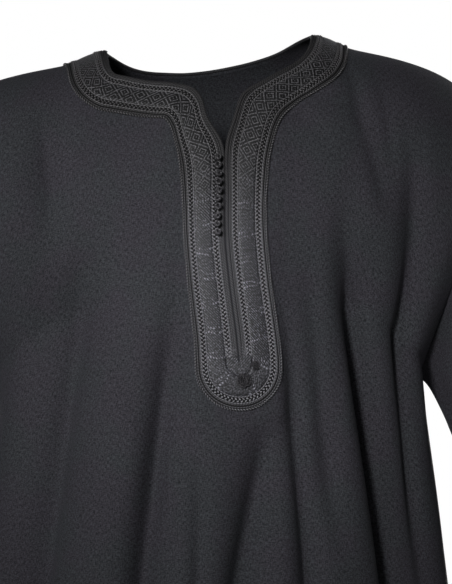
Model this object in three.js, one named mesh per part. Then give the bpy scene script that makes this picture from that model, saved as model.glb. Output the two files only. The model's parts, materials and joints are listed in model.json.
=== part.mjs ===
// A long, loose, wide-sleeved robe of charcoal cloth, with a braided trim that runs round the neck and
// down both sides of a buttoned front slit. It keeps the hollow form that it has when it is worn.
// Millimetres, +Z up. The front faces -Y. The origin is midway between the two shoulder points of the
// neck, where the robe hangs on the shoulders.
// A place on the cloth is given by two numbers: across, from the centre line towards +X, and down, from
// the shoulder line: down is positive on the front and negative on the back.

import * as THREE from "three";

// Driving dimensions
const CLOTH = 1.6;
const SEAM_GAP = 0.3;
const HEM_DOWN = 1400;
const HEM_HEIGHT = -1340;
const HEM_HALF_WIDTH = 325;
const ARMHOLE_DOWN = 290;
const ARMHOLE = { topX: 262, topZ: -125, footX: 200, footZ: -318, halfDepth: 66, lean: 1.2, roundTop: 1.6 };
// How far the cloth keeps the way it leaves the armhole, over and under the arm, and meets the cuff
const SLEEVE_REACH = { top: 300, under: 120, cuff: 260 };
const CUFF = { x: 330, y: -6, z: -618, halfWidth: 54, halfDepth: 66, leanDegrees: 14 };
const NECK_HALF_WIDTH = 98;
const NECK_BACK_DROP = 62;
const NECK_RISE = { height: 9, reach: 24, fade: 80 };
const SHOULDER_TILT = { height: 9.5, reach: 70, fade: 260 };
const TRIM_BACK_DROP = 102;
const SLIT = { end: 250, halfGap: 0.6 };
const PLACKET_END = { across: 9.3, down: 361, radius: 39.8, innerDown: 355 };
const FULLNESS = { depth: 0.8, heightAtTop: 0.5, heightBelow: 1 };
const TRIM_LIFT = 0.6;
// How far beside and below the slit the trim keeps the cloth flat, and over what length that fades
const TRIM_STIFFNESS = { beside: 34, besideFade: 16, below: 396, belowFade: 30 };
// How the folds begin, end, widen towards the hem and fade at a panel's edge
const FOLD_SHAPE = { beginsOver: 130, endsOver: 0.4, hemSpread: 1.7, edgeFade: 34 };
const SLEEVE_FOLD_SHAPE = { beginsOver: 0.4, endsOver: 0.3 };
// The way the sleeve's cloth leaves the armhole: sideways over and under the arm, and down under it
const SLEEVE_LEAVING = { overSideways: 0.12, underPower: 1.5, bulge: 0.25, underDown: 0.25 };
const SLEEVE_CROWDING = 1.25;

// Centre line of the front and back: how far forward it lies and how high, at each distance down
const CENTRE_LINE = [
  { down: -1400, forward: -175, height: -1340 },
  { down: -900, forward: -146, height: -842 },
  { down: -600, forward: -122, height: -543 },
  { down: -400, forward: -108, height: -344 },
  { down: -290, forward: -103, height: -234 },
  { down: -200, forward: -97, height: -148 },
  { down: -140, forward: -86, height: -92 },
  { down: -90, forward: -68, height: -46 },
  { down: -45, forward: -40, height: -14 },
  { down: 0, forward: 0, height: -6 },
  { down: 45, forward: 41, height: -14 },
  { down: 90, forward: 74, height: -41 },
  { down: 140, forward: 95, height: -84 },
  { down: 200, forward: 110, height: -141 },
  { down: 290, forward: 122, height: -230 },
  { down: 400, forward: 131, height: -340 },
  { down: 600, forward: 147, height: -539 },
  { down: 900, forward: 170, height: -838 },
  { down: 1400, forward: 200, height: -1340 },
];

// Folds: three places on the bottom of each trough, how deep it gets, how wide it is on its -X and +X
// sides, and how much of its depth is left at its lower end
const FRONT_FOLDS = [
  { d1: 50, a1: -152, d2: 132, a2: -162, d3: 250, a3: -150, depth: 7, left: 20, right: 24, end: 0 },
  { d1: 190, a1: -124, d2: 372, a2: -158, d3: 1400, a3: -262, depth: 17, left: 34, right: 30, end: 1.6 },
  { d1: 265, a1: -42, d2: 432, a2: -67, d3: 1400, a3: -142, depth: 11, left: 17, right: 24, end: 2.2 },
  { d1: 370, a1: -27, d2: 553, a2: -30, d3: 900, a3: -46, depth: 4, left: 11, right: 11, end: 0 },
  { d1: 355, a1: 52, d2: 480, a2: 23, d3: 1400, a3: -28, depth: 11, left: 20, right: 24, end: 2.2 },
  { d1: 270, a1: 50, d2: 434, a2: 65, d3: 1400, a3: 92, depth: 6, left: 12, right: 12, end: 3.4 },
  { d1: 200, a1: 75, d2: 335, a2: 83, d3: 560, a3: 108, depth: 5, left: 22, right: 18, end: 0 },
  { d1: 190, a1: 109, d2: 424, a2: 149, d3: 1400, a3: 262, depth: 20, left: 17, right: 42, end: 1.4 },
  { d1: 60, a1: 120, d2: 126, a2: 136, d3: 220, a3: 156, depth: 6, left: 13, right: 17, end: 0 },
  { d1: 80, a1: 172, d2: 230, a2: 190, d3: 620, a3: 222, depth: 10, left: 22, right: 18, end: 0 },
];
const BACK_FOLDS = [
  { d1: 60, a1: -160, d2: 160, a2: -152, d3: 330, a3: -170, depth: 8, left: 22, right: 24, end: 0 },
  { d1: 150, a1: -110, d2: 500, a2: -160, d3: 1400, a3: -262, depth: 15, left: 30, right: 26, end: 1.9 },
  { d1: 240, a1: -52, d2: 600, a2: -70, d3: 1400, a3: -132, depth: 10, left: 20, right: 26, end: 2.4 },
  { d1: 180, a1: 8, d2: 560, a2: -4, d3: 1400, a3: -14, depth: 9, left: 24, right: 20, end: 2.6 },
  { d1: 260, a1: 62, d2: 620, a2: 84, d3: 1400, a3: 118, depth: 10, left: 24, right: 22, end: 2.3 },
  { d1: 140, a1: 118, d2: 480, a2: 158, d3: 1400, a3: 250, depth: 16, left: 24, right: 32, end: 1.8 },
  { d1: 70, a1: 166, d2: 180, a2: 158, d3: 340, a3: 176, depth: 8, left: 20, right: 22, end: 0 },
];
// Sleeve folds: turn round the sleeve in degrees from its top over its front, at its two ends
const SLEEVE_FOLDS = [
  { from: 0.1, turn1: 22, to: 1, turn2: 40, depth: 9, width: 15 },
  { from: 0.2, turn1: 92, to: 1, turn2: 104, depth: 12, width: 17 },
  { from: 0.12, turn1: 168, to: 0.8, turn2: 186, depth: 7, width: 16 },
  { from: 0.2, turn1: 250, to: 1, turn2: 236, depth: 11, width: 17 },
  { from: 0.1, turn1: 322, to: 0.9, turn2: 306, depth: 8, width: 15 },
];

// Edges of the trim: inner edge and outer edge, from the shoulder line down to the foot of the slit
const TRIM_LEFT = [
  { inAcross: -98, inDown: 0, outAcross: -139, outDown: 0 },
  { inAcross: -99.5, inDown: 42, outAcross: -138, outDown: 58 },
  { inAcross: -98.5, inDown: 60, outAcross: -131, outDown: 86 },
  { inAcross: -94, inDown: 69.5, outAcross: -117, outDown: 104 },
  { inAcross: -84, inDown: 72.8, outAcross: -102, outDown: 112.5 },
  { inAcross: -46, inDown: 85.5, outAcross: -68, outDown: 122.8 },
  { inAcross: -28, inDown: 93, outAcross: -54.5, outDown: 126 },
  { inAcross: -18.5, inDown: 107, outAcross: -48.5, outDown: 136 },
  { inAcross: -14, inDown: 129, outAcross: -45.5, outDown: 150 },
  { inAcross: -0.9, inDown: 161, outAcross: -42, outDown: 175 },
  { inAcross: -2, inDown: 205, outAcross: -40.2, outDown: 212 },
  { inAcross: -2.5, inDown: 242, outAcross: -39.6, outDown: 242 },
  { inAcross: 1, inDown: 285, outAcross: -36.6, outDown: 285 },
  { inAcross: 6.4, inDown: 330, outAcross: -32, outDown: 330 },
  { inAcross: 8.6, inDown: 352, outAcross: -30.9, outDown: 350 },
];
const TRIM_RIGHT = [
  { inAcross: 98, inDown: 0, outAcross: 133, outDown: 0 },
  { inAcross: 92, inDown: 34, outAcross: 127, outDown: 40 },
  { inAcross: 84, inDown: 57, outAcross: 119, outDown: 71 },
  { inAcross: 70, inDown: 72.5, outAcross: 104, outDown: 95 },
  { inAcross: 40, inDown: 93.5, outAcross: 70, outDown: 119 },
  { inAcross: 25, inDown: 102.4, outAcross: 57, outDown: 131.5 },
  { inAcross: 17, inDown: 111, outAcross: 50, outDown: 144 },
  { inAcross: 9.6, inDown: 132, outAcross: 45, outDown: 159 },
  { inAcross: 0.9, inDown: 161, outAcross: 40.5, outDown: 180 },
  { inAcross: -0.4, inDown: 205, outAcross: 37, outDown: 214 },
  { inAcross: -1, inDown: 242, outAcross: 37, outDown: 244 },
  { inAcross: 2.4, inDown: 285, outAcross: 40.4, outDown: 285 },
  { inAcross: 7.8, inDown: 330, outAcross: 46.5, outDown: 330 },
  { inAcross: 9.6, inDown: 352, outAcross: 48.8, outDown: 351 },
];

// The trim's bands, as shares of its width from the inner edge, with what each stands off the cloth
const TRIM_BANDS = [
  { name: "cord_inner", from: 0.03, to: 0.15, columns: 1, thick: 1.1, round: false, color: 0x2a2829 },
  { name: "braid_inner", from: 0.158, to: 0.28, columns: 1, thick: 1.3, round: false, color: 0x343133 },
  { name: "band_woven", from: 0.288, to: 0.7, columns: 2, thick: 0.9, round: true, color: 0x3b3a3e },
  { name: "braid_outer", from: 0.708, to: 0.86, columns: 1, thick: 1.3, round: true, color: 0x343133 },
  { name: "cord_outer", from: 0.868, to: 1, columns: 1, thick: 1.1, round: true, color: 0x2a2829 },
];
const BUTTONS = { count: 10, firstDown: 171, lastDown: 240, firstAcross: -6.6, lastAcross: -9.6 };
const KNOT = { radius: 3.4, height: 6.6, stemRadius: 1.1, stemHeight: 1.7, sides: 8 };
// A knot's head over its stem, as shares of its radius and height
const KNOT_HEAD = [
  { radius: 0.85, height: 0.09 },
  { radius: 1, height: 0.42 },
  { radius: 0.7, height: 0.72 },
  { radius: 0, height: 0.85 },
];
const LOOP = { halfWidth: 1.95, reach: 10.5, thick: 1.1, lift: 0.2, arcSteps: 6 };
const ROSETTES = [
  { name: "rosette_large", across: 12.6, down: 373, radius: 7.2, thick: 2.6, sides: 12 },
  { name: "rosette_small", across: 23, down: 359.5, radius: 4.2, thick: 1.8, sides: 10 },
];
const ROSETTE_CROWN = { radius: 0.6, rim: 0.5 };

// Where the panels' rows and columns lie
const ARMHOLE_ROWS_FRONT = [0, 14, 30, 48, 68, 90, 115, 142, 170, 198, 228, 259, 290];
const ARMHOLE_ROWS_BACK = [0, 13, 28, 46, 70, 106, 150, 196, 243, 290];
const SIDE_ROWS = [320, 355, 395, 440, 490, 545, 610, 690, 790, 900, 1030, 1160, 1285, 1400];
const EVEN_FROM = 420;
const SHOULDER_COLUMNS = 8;
const SLEEVE_STEPS = 9;
const NECK_STOPS_LEFT = [0, 0.8, 2, 4, 5, 6, 7, 8, 9];
const NECK_STOPS_RIGHT = [0, 0.7, 1.5, 2.5, 3.5, 5, 6, 7, 8];
const NECK_STOPS_BACK = [180, 158, 130, 90, 50, 22, 0];
const TRIM_STEP = 13;
const TRIM_BACK_STEPS = 18;
const ROUND_END_STEPS = 9;
const CURVE_SAMPLES = 64;
const LEAST_WALL_SPREAD = 0.7;

const DEGREE = Math.PI / 180;
const CLOTH_LOOK = { color: 0x333236, roughness: 0.9 };
const KNOT_LOOK = { color: 0x1f1d1e, roughness: 0.55 };
const LOOP_LOOK = { color: 0x242223, roughness: 0.6 };
const TRIM_ROUGHNESS = 0.6;

const plus = (a, b) => [a[0] + b[0], a[1] + b[1], a[2] + b[2]];
const minus = (a, b) => [a[0] - b[0], a[1] - b[1], a[2] - b[2]];
const times = (a, k) => [a[0] * k, a[1] * k, a[2] * k];
const dot = (a, b) => a[0] * b[0] + a[1] * b[1] + a[2] * b[2];
const cross = (a, b) => [
  a[1] * b[2] - a[2] * b[1],
  a[2] * b[0] - a[0] * b[2],
  a[0] * b[1] - a[1] * b[0],
];
const unit = (a) => times(a, 1 / Math.hypot(a[0], a[1], a[2]));
const mix = (a, b, t) => a + (b - a) * t;
const clamp = (t) => Math.min(1, Math.max(0, t));
const smooth = (t) => clamp(t) ** 2 * (3 - 2 * clamp(t));

// Smooth curve through a table's rows: the value of a column where the key column has a given value
function curveThrough(table, key, column, at) {
  let i = 0;
  while (i < table.length - 2 && at > table[i + 1][key]) i++;
  const row = (k) => table[Math.min(table.length - 1, Math.max(0, k))];
  const slope = (k) => (row(k + 1)[column] - row(k - 1)[column]) / (row(k + 1)[key] - row(k - 1)[key]);
  const step = row(i + 1)[key] - row(i)[key];
  const t = clamp((at - row(i)[key]) / step);
  const start = (2 * t ** 3 - 3 * t ** 2 + 1) * row(i)[column] + (t ** 3 - 2 * t ** 2 + t) * step * slope(i);
  const end = (3 * t ** 2 - 2 * t ** 3) * row(i + 1)[column] + (t ** 3 - t ** 2) * step * slope(i + 1);
  return start + end;
}

// The +X edge of the body at a distance down: the armhole, pointed at its foot, then the side seam
function bodyEdge(down) {
  const size = Math.abs(down);
  if (size <= ARMHOLE_DOWN) {
    const t = size / ARMHOLE_DOWN;
    return [
      mix(ARMHOLE.topX, ARMHOLE.footX, t ** ARMHOLE.lean),
      -Math.sign(down) * ARMHOLE.halfDepth * Math.sin(Math.PI * t),
      mix(ARMHOLE.topZ, ARMHOLE.footZ, t ** ARMHOLE.roundTop),
    ];
  }
  const t = (size - ARMHOLE_DOWN) / (HEM_DOWN - ARMHOLE_DOWN);
  return [mix(ARMHOLE.footX, HEM_HALF_WIDTH, t), 0, mix(ARMHOLE.footZ, HEM_HEIGHT, t)];
}

// A half row of the body from the centre line to its edge, with the length along it at each sample
const sections = new Map();
function section(down) {
  const key = down.toFixed(3);
  if (sections.has(key)) return sections.get(key);
  const edge = bodyEdge(down);
  const centreY = -curveThrough(CENTRE_LINE, "down", "forward", down);
  const centreZ = curveThrough(CENTRE_LINE, "down", "height", down);
  const rise = NECK_RISE.height * Math.exp(-((down / NECK_RISE.fade) ** 2));
  const fullHeight = mix(FULLNESS.heightAtTop, FULLNESS.heightBelow, smooth(Math.abs(down) / ARMHOLE_DOWN));
  const points = [];
  const lengths = [0];
  for (let i = 0; i <= CURVE_SAMPLES; i++) {
    const turn = ((i / CURVE_SAMPLES) * Math.PI) / 2;
    const x = edge[0] * Math.sin(turn);
    const c = Math.max(0, Math.cos(turn));
    const neck = rise * Math.exp(-(((x - NECK_HALF_WIDTH) / NECK_RISE.reach) ** 2));
    points.push([
      x,
      mix(edge[1], centreY, c ** FULLNESS.depth),
      mix(edge[2], centreZ, c ** fullHeight) + neck,
    ]);
    if (i > 0) {
      const [a, b] = [points[i - 1], points[i]];
      lengths.push(lengths[i - 1] + Math.hypot(b[0] - a[0], b[1] - a[1], b[2] - a[2]));
    }
  }
  sections.set(key, { points, lengths });
  return sections.get(key);
}

const halfLength = (down) => section(down).lengths[CURVE_SAMPLES];

// A point of the unfolded body surface
function plainPoint(across, down) {
  const { points, lengths } = section(down);
  const length = Math.min(Math.abs(across), lengths[CURVE_SAMPLES]);
  let i = 0;
  while (i < CURVE_SAMPLES - 1 && length > lengths[i + 1]) i++;
  const t = (length - lengths[i]) / (lengths[i + 1] - lengths[i]);
  const side = Math.sign(across) || 1;
  const x = side * mix(points[i][0], points[i + 1][0], t);
  const tilt = SHOULDER_TILT.height * Math.tanh(x / SHOULDER_TILT.reach);
  return [
    x,
    mix(points[i][1], points[i + 1][1], t),
    mix(points[i][2], points[i + 1][2], t) + tilt * Math.exp(-((down / SHOULDER_TILT.fade) ** 2)),
  ];
}

function plainNormal(across, down) {
  const step = 2;
  const reach = halfLength(down) - step;
  const a = Math.min(reach, Math.max(-reach, across));
  const acrossWay = minus(plainPoint(a + step, down), plainPoint(a - step, down));
  const downWay = minus(plainPoint(a, down + step), plainPoint(a, down - step));
  return unit(cross(downWay, acrossWay));
}

// The trough's bottom, on a smooth path through its three places
function foldAcross(fold, down) {
  const [t1, t2, t3] = [fold.d1, fold.d2, fold.d3];
  return (
    (fold.a1 * (down - t2) * (down - t3)) / ((t1 - t2) * (t1 - t3)) +
    (fold.a2 * (down - t1) * (down - t3)) / ((t2 - t1) * (t2 - t3)) +
    (fold.a3 * (down - t1) * (down - t2)) / ((t3 - t1) * (t3 - t2))
  );
}

// How stiff the trim keeps the cloth: 0 under it, 1 away from it
function freeOfTrim(across, down) {
  const centre = PLACKET_END.across * clamp((down - SLIT.end) / (PLACKET_END.down - SLIT.end));
  const beside = smooth((Math.abs(across - centre) - TRIM_STIFFNESS.beside) / TRIM_STIFFNESS.besideFade);
  const below = smooth((down - TRIM_STIFFNESS.below) / TRIM_STIFFNESS.belowFade);
  return 1 - (1 - beside) * (1 - below);
}

// How far the folds sink the cloth at a place
function foldDepth(across, down) {
  const size = Math.abs(down);
  let depth = 0;
  for (const fold of down < 0 ? BACK_FOLDS : FRONT_FOLDS) {
    if (size <= fold.d1 || size >= fold.d3 + 1) continue;
    const along = (size - fold.d1) / (fold.d3 - fold.d1);
    const start = smooth((size - fold.d1) / FOLD_SHAPE.beginsOver);
    const end = fold.end > 0 ? mix(1, fold.end, along) : smooth((1 - along) / FOLD_SHAPE.endsOver);
    const off = across - foldAcross(fold, size);
    const widening = fold.end > 0 ? mix(1, FOLD_SHAPE.hemSpread, along) : 1;
    const spread = (off < 0 ? fold.left : fold.right) * widening;
    depth += fold.depth * start * end * Math.exp(-((off / spread) ** 2));
  }
  const fromEdge = smooth((halfLength(down) - Math.abs(across)) / FOLD_SHAPE.edgeFade);
  return depth * fromEdge * (down > 0 ? freeOfTrim(across, down) : 1);
}

function clothPoint(across, down) {
  const point = plainPoint(across, down);
  const depth = foldDepth(across, down);
  return depth < 0.01 ? point : plus(point, times(plainNormal(across, down), -depth));
}

// The body and sleeves share one pool of points, so that pieces agree along their seams
const pool = { points: [], places: [], ids: new Map() };
function poolId(point, place) {
  const key = point.map((v) => Math.round(v * 1000)).join(",");
  if (!pool.ids.has(key)) {
    pool.ids.set(key, pool.points.length);
    pool.points.push(point);
    pool.places.push(place);
  }
  return pool.ids.get(key);
}

// Triangles of a grid of pool points, each quad split along its shorter diagonal
function gridFaces(rows, flip) {
  const faces = [];
  const gap = (a, b) => {
    const d = minus(pool.points[a], pool.points[b]);
    return dot(d, d);
  };
  for (let j = 0; j + 1 < rows.length; j++) {
    for (let i = 0; i + 1 < rows[j].length; i++) {
      const [a, b, c, d] = [rows[j][i], rows[j + 1][i], rows[j + 1][i + 1], rows[j][i + 1]];
      const split = gap(a, c) <= gap(b, d) ? [[a, b, c], [a, c, d]] : [[a, b, d], [b, c, d]];
      for (const face of split) {
        if (new Set(face).size === 3) faces.push(flip ? [face[0], face[2], face[1]] : face);
      }
    }
  }
  return faces;
}

// A place on the trim: share 0 is its inner edge and 1 its outer edge, stop counts the table's rows
function trimPlace(table, stop, share) {
  const numbered = table.map((row, index) => ({ ...row, index }));
  const value = (column) => curveThrough(numbered, "index", column, stop);
  return {
    across: mix(value("inAcross"), value("outAcross"), share),
    down: mix(value("inDown"), value("outDown"), share),
  };
}

function neckBackPlace(degrees, share) {
  const turn = degrees * DEGREE;
  const outer = Math.cos(turn) < 0 ? -TRIM_LEFT[0].outAcross : TRIM_RIGHT[0].outAcross;
  return {
    across: mix(NECK_HALF_WIDTH, outer, share) * Math.cos(turn),
    down: -mix(NECK_BACK_DROP, TRIM_BACK_DROP, share) * Math.sin(turn),
  };
}

// A panel's columns: top place of each, and its share of the way across lower down
function panelColumns(neckPlaces) {
  const shoulder = halfLength(0);
  const tops = [];
  for (let i = 0; i < SHOULDER_COLUMNS; i++) {
    tops.push({ across: -mix(shoulder, NECK_HALF_WIDTH, i / SHOULDER_COLUMNS), down: 0 });
  }
  tops.push(...neckPlaces);
  for (let i = SHOULDER_COLUMNS - 1; i >= 0; i--) {
    tops.push({ across: mix(shoulder, NECK_HALF_WIDTH, i / SHOULDER_COLUMNS), down: 0 });
  }
  return tops;
}

// Points of a panel, row by row; slitSide moves the centre column to one side of the slit
function panelRows(tops, rowDowns, sign, columnRange, slitSide) {
  const [first, last] = columnRange;
  const middle = (tops.length - 1) / 2;
  return rowDowns.map((rowDown) => {
    const row = [];
    for (let i = first; i <= last; i++) {
      const top = tops[i];
      const share = clamp(rowDown / EVEN_FROM);
      const down = rowDown < EVEN_FROM ? mix(Math.abs(top.down), EVEN_FROM, share) : rowDown;
      const even = ((2 * i) / (tops.length - 1) - 1) * halfLength(sign * down);
      const topReach = i === 0 || i === tops.length - 1 ? even : top.across;
      let across = mix(topReach, even, smooth(share));
      if (i === middle && slitSide !== 0 && down < SLIT.end) across += slitSide * SLIT.halfGap;
      row.push(poolId(clothPoint(across, sign * down), { across, down: sign * down }));
    }
    return row;
  });
}

function frontFaces() {
  const left = NECK_STOPS_LEFT.map((stop) => trimPlace(TRIM_LEFT, stop, 0));
  const right = NECK_STOPS_RIGHT.map((stop) => trimPlace(TRIM_RIGHT, stop, 0)).reverse();
  const foot = { across: 0, down: left[left.length - 1].down };
  const tops = panelColumns([...left.slice(0, -1), foot, ...right.slice(1)]);
  const downs = [...ARMHOLE_ROWS_FRONT, ...SIDE_ROWS];
  const middle = (tops.length - 1) / 2;
  return [
    ...gridFaces(panelRows(tops, downs, 1, [0, middle], -1), false),
    ...gridFaces(panelRows(tops, downs, 1, [middle, tops.length - 1], 1), false),
  ];
}

function backFaces() {
  const tops = panelColumns(NECK_STOPS_BACK.map((degrees) => neckBackPlace(degrees, 0)));
  const downs = [...ARMHOLE_ROWS_BACK, ...SIDE_ROWS];
  return gridFaces(panelRows(tops, downs, -1, [0, tops.length - 1], 0), true);
}

// A sleeve, from the armhole's points to the cuff's oval; side is 1 for +X and -1 for -X
function sleeveFaces(side) {
  const lean = CUFF.leanDegrees * DEGREE;
  const axis = [side * Math.sin(lean), 0, -Math.cos(lean)];
  const acrossWay = [side * Math.cos(lean), 0, Math.sin(lean)];
  const backDowns = ARMHOLE_ROWS_BACK.slice(1, -1).reverse();
  const downs = [...ARMHOLE_ROWS_FRONT, ...backDowns.map((down) => -down), 0];
  const columns = downs.map((down, index) => {
    const starts = plainPoint(side * halfLength(down), down);
    const pastFoot = down < 0 || index === downs.length - 1;
    const turn = (pastFoot ? 2 * Math.PI : 0) + (Math.PI * down) / ARMHOLE_DOWN;
    const under = (1 - Math.cos(turn)) / 2;
    const centre = [side * CUFF.x, CUFF.y, CUFF.z];
    const sideways = times(acrossWay, CUFF.halfWidth * Math.cos(turn));
    const outwards = plus(sideways, [0, -CUFF.halfDepth * Math.sin(turn), 0]);
    const spread = side * mix(SLEEVE_LEAVING.overSideways, 1, under ** SLEEVE_LEAVING.underPower);
    const fall = mix(-1, -SLEEVE_LEAVING.underDown, under ** 2);
    const leaving = unit([spread, -SLEEVE_LEAVING.bulge * Math.sin(turn), fall]);
    const reach = mix(SLEEVE_REACH.top, SLEEVE_REACH.under, under);
    return { starts, ends: plus(centre, outwards), leaving: times(leaving, reach), out: unit(outwards), turn };
  });
  const rows = [];
  for (let k = 0; k <= SLEEVE_STEPS; k++) {
    const t = (k / SLEEVE_STEPS) ** SLEEVE_CROWDING;
    const weights = [
      2 * t ** 3 - 3 * t ** 2 + 1,
      t ** 3 - 2 * t ** 2 + t,
      3 * t ** 2 - 2 * t ** 3,
      t ** 3 - t ** 2,
    ];
    rows.push(columns.map(({ starts, ends, leaving, out, turn }) => {
      const onStart = plus(times(starts, weights[0]), times(leaving, weights[1]));
      const onEnd = plus(times(ends, weights[2]), times(axis, SLEEVE_REACH.cuff * weights[3]));
      let depth = 0;
      for (const fold of SLEEVE_FOLDS) {
        const along = (t - fold.from) / (fold.to - fold.from);
        const gap = turn / DEGREE - mix(fold.turn1, fold.turn2, clamp(along));
        const start = smooth(along / SLEEVE_FOLD_SHAPE.beginsOver);
        const fade = fold.to < 1 ? smooth((1 - along) / SLEEVE_FOLD_SHAPE.endsOver) : 1;
        depth += fold.depth * start * fade * Math.exp(-((gap / fold.width) ** 2));
      }
      return poolId(plus(plus(onStart, onEnd), times(out, -depth)), null);
    }));
  }
  return gridFaces(rows, side > 0);
}

// Outward way at each pool point, the same for all pieces that meet there, and longer over a crease so
// that the walls beside it keep their thickness
function wallWays(pieces) {
  const total = pool.points.map(() => [0, 0, 0]);
  const count = pool.points.map(() => 0);
  for (const faces of Object.values(pieces)) {
    const sums = new Map();
    for (const [a, b, c] of faces) {
      const area = cross(minus(pool.points[b], pool.points[a]), minus(pool.points[c], pool.points[a]));
      for (const id of [a, b, c]) sums.set(id, plus(sums.get(id) ?? [0, 0, 0], area));
    }
    for (const [id, sum] of sums) {
      total[id] = plus(total[id], unit(sum));
      count[id] += 1;
    }
  }
  return total.map((sum, id) => {
    const spread = Math.hypot(...sum) / count[id];
    return times(unit(sum), 1 / Math.max(LEAST_WALL_SPREAD, spread));
  });
}

// A closed mesh from numbered outer and inner points: both skins and the walls along free edges. The
// walls of two pieces along a seam are split the same way, so that they stay apart where they twist
function closedGeometry(outer, inner, faces) {
  const numbers = new Map();
  const positions = [];
  const number = (id, layer) => {
    const key = `${id}/${layer}`;
    if (!numbers.has(key)) {
      numbers.set(key, positions.length / 3);
      positions.push(...(layer === 0 ? outer : inner).get(id));
    }
    return numbers.get(key);
  };
  const index = [];
  const edges = new Set(faces.flatMap(([a, b, c]) => [`${a},${b}`, `${b},${c}`, `${c},${a}`]));
  for (const face of faces) {
    const [a, b, c] = face;
    index.push(number(a, 0), number(b, 0), number(c, 0));
    index.push(number(a, 1), number(c, 1), number(b, 1));
    for (const [p, q] of [[a, b], [b, c], [c, a]]) {
      if (edges.has(`${q},${p}`)) continue;
      const [p0, p1, q0, q1] = [number(p, 0), number(p, 1), number(q, 0), number(q, 1)];
      index.push(...(p < q ? [p0, p1, q1, p0, q1, q0] : [p0, p1, q0, p1, q1, q0]));
    }
  }
  const geometry = new THREE.BufferGeometry();
  geometry.setAttribute("position", new THREE.Float32BufferAttribute(positions, 3));
  geometry.setIndex(index);
  return geometry;
}

// A cloth piece: its edge stands back from each seam by half the seam gap, square to the seam
function clothGeometry(faces, normals, shared) {
  const towards = new Map();
  const seamWay = new Map();
  const edges = new Set(faces.flatMap(([a, b, c]) => [`${a},${b}`, `${b},${c}`, `${c},${a}`]));
  const grow = (map, id, by) => map.set(id, plus(map.get(id) ?? [0, 0, 0], by));
  for (const face of faces) {
    const centre = times(face.reduce((sum, id) => plus(sum, pool.points[id]), [0, 0, 0]), 1 / 3);
    for (const id of face) grow(towards, id, minus(centre, pool.points[id]));
    const [a, b, c] = face;
    for (const [p, q] of [[a, b], [b, c], [c, a]]) {
      if (edges.has(`${q},${p}`) || !shared.has(p) || !shared.has(q)) continue;
      const along = unit(minus(pool.points[q], pool.points[p]));
      grow(seamWay, p, along);
      grow(seamWay, q, along);
    }
  }
  const outer = new Map();
  const inner = new Map();
  for (const [id, way] of towards) {
    let point = pool.points[id];
    if (shared.has(id)) {
      const square = unit(cross(normals[id], seamWay.get(id)));
      point = plus(point, times(square, (Math.sign(dot(square, way)) * SEAM_GAP) / 2));
    }
    outer.set(id, point);
    inner.set(id, plus(point, times(normals[id], -CLOTH)));
  }
  return closedGeometry(outer, inner, faces);
}

function makeMesh(name, geometry, look) {
  geometry.computeVertexNormals();
  const material = new THREE.MeshStandardMaterial({ ...look, metalness: 0 });
  const mesh = new THREE.Mesh(geometry, material);
  mesh.name = name;
  return mesh;
}

// The body panels as flat triangles over (across, down), to set the trim on their facets
function facetFinder(faces, normals) {
  const facets = faces.map((face) => ({ face, places: face.map((id) => pool.places[id]) }));
  return (across, down, lift) => {
    let best = { miss: Infinity };
    for (const { face, places: [a, b, c] } of facets) {
      const area = (b.across - a.across) * (c.down - a.down) - (c.across - a.across) * (b.down - a.down);
      const v = ((across - a.across) * (c.down - a.down) - (c.across - a.across) * (down - a.down)) / area;
      const w = ((b.across - a.across) * (down - a.down) - (across - a.across) * (b.down - a.down)) / area;
      const miss = Math.max(0, -v, -w, v + w - 1) * Math.sqrt(Math.abs(area));
      if (miss < best.miss) best = { miss, face, weights: [1 - v - w, v, w] };
      if (miss === 0) break;
    }
    const blend = (list) =>
      best.face.reduce((sum, id, k) => plus(sum, times(list[id], best.weights[k])), [0, 0, 0]);
    return { point: plus(blend(pool.points), times(unit(blend(normals)), lift)), normal: unit(blend(normals)) };
  };
}

// Stations round the trim: up the left side, round the back of the neck, down the right side
function trimStations() {
  const stations = [];
  const side = (table, up) => {
    const places = [];
    for (let row = 0; row + 1 < table.length; row++) {
      const a = trimPlace(table, row, 0.6);
      const b = trimPlace(table, row + 1, 0.6);
      const steps = Math.max(1, Math.round(Math.hypot(a.across - b.across, a.down - b.down) / TRIM_STEP));
      for (let k = 0; k < steps; k++) places.push((share) => trimPlace(table, row + k / steps, share));
    }
    places.push((share) => trimPlace(table, table.length - 1, share));
    return up ? places.reverse() : places;
  };
  stations.push(...side(TRIM_LEFT, true));
  for (let k = 1; k < TRIM_BACK_STEPS; k++) {
    stations.push((share) => neckBackPlace(180 - (180 * k) / TRIM_BACK_STEPS, share));
  }
  stations.push(...side(TRIM_RIGHT, false));
  return stations;
}

// The round end of the trim below the slit, from its right side to its left side
function roundEndStations() {
  const { across, down, radius, innerDown } = PLACKET_END;
  const stations = [];
  for (let k = 1; k < ROUND_END_STEPS; k++) {
    const turn = (Math.PI * k) / ROUND_END_STEPS;
    stations.push((share) => ({
      across: across + radius * share * Math.cos(turn),
      down: mix(innerDown, down, share) + radius * share * Math.sin(turn),
    }));
  }
  return stations;
}

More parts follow.
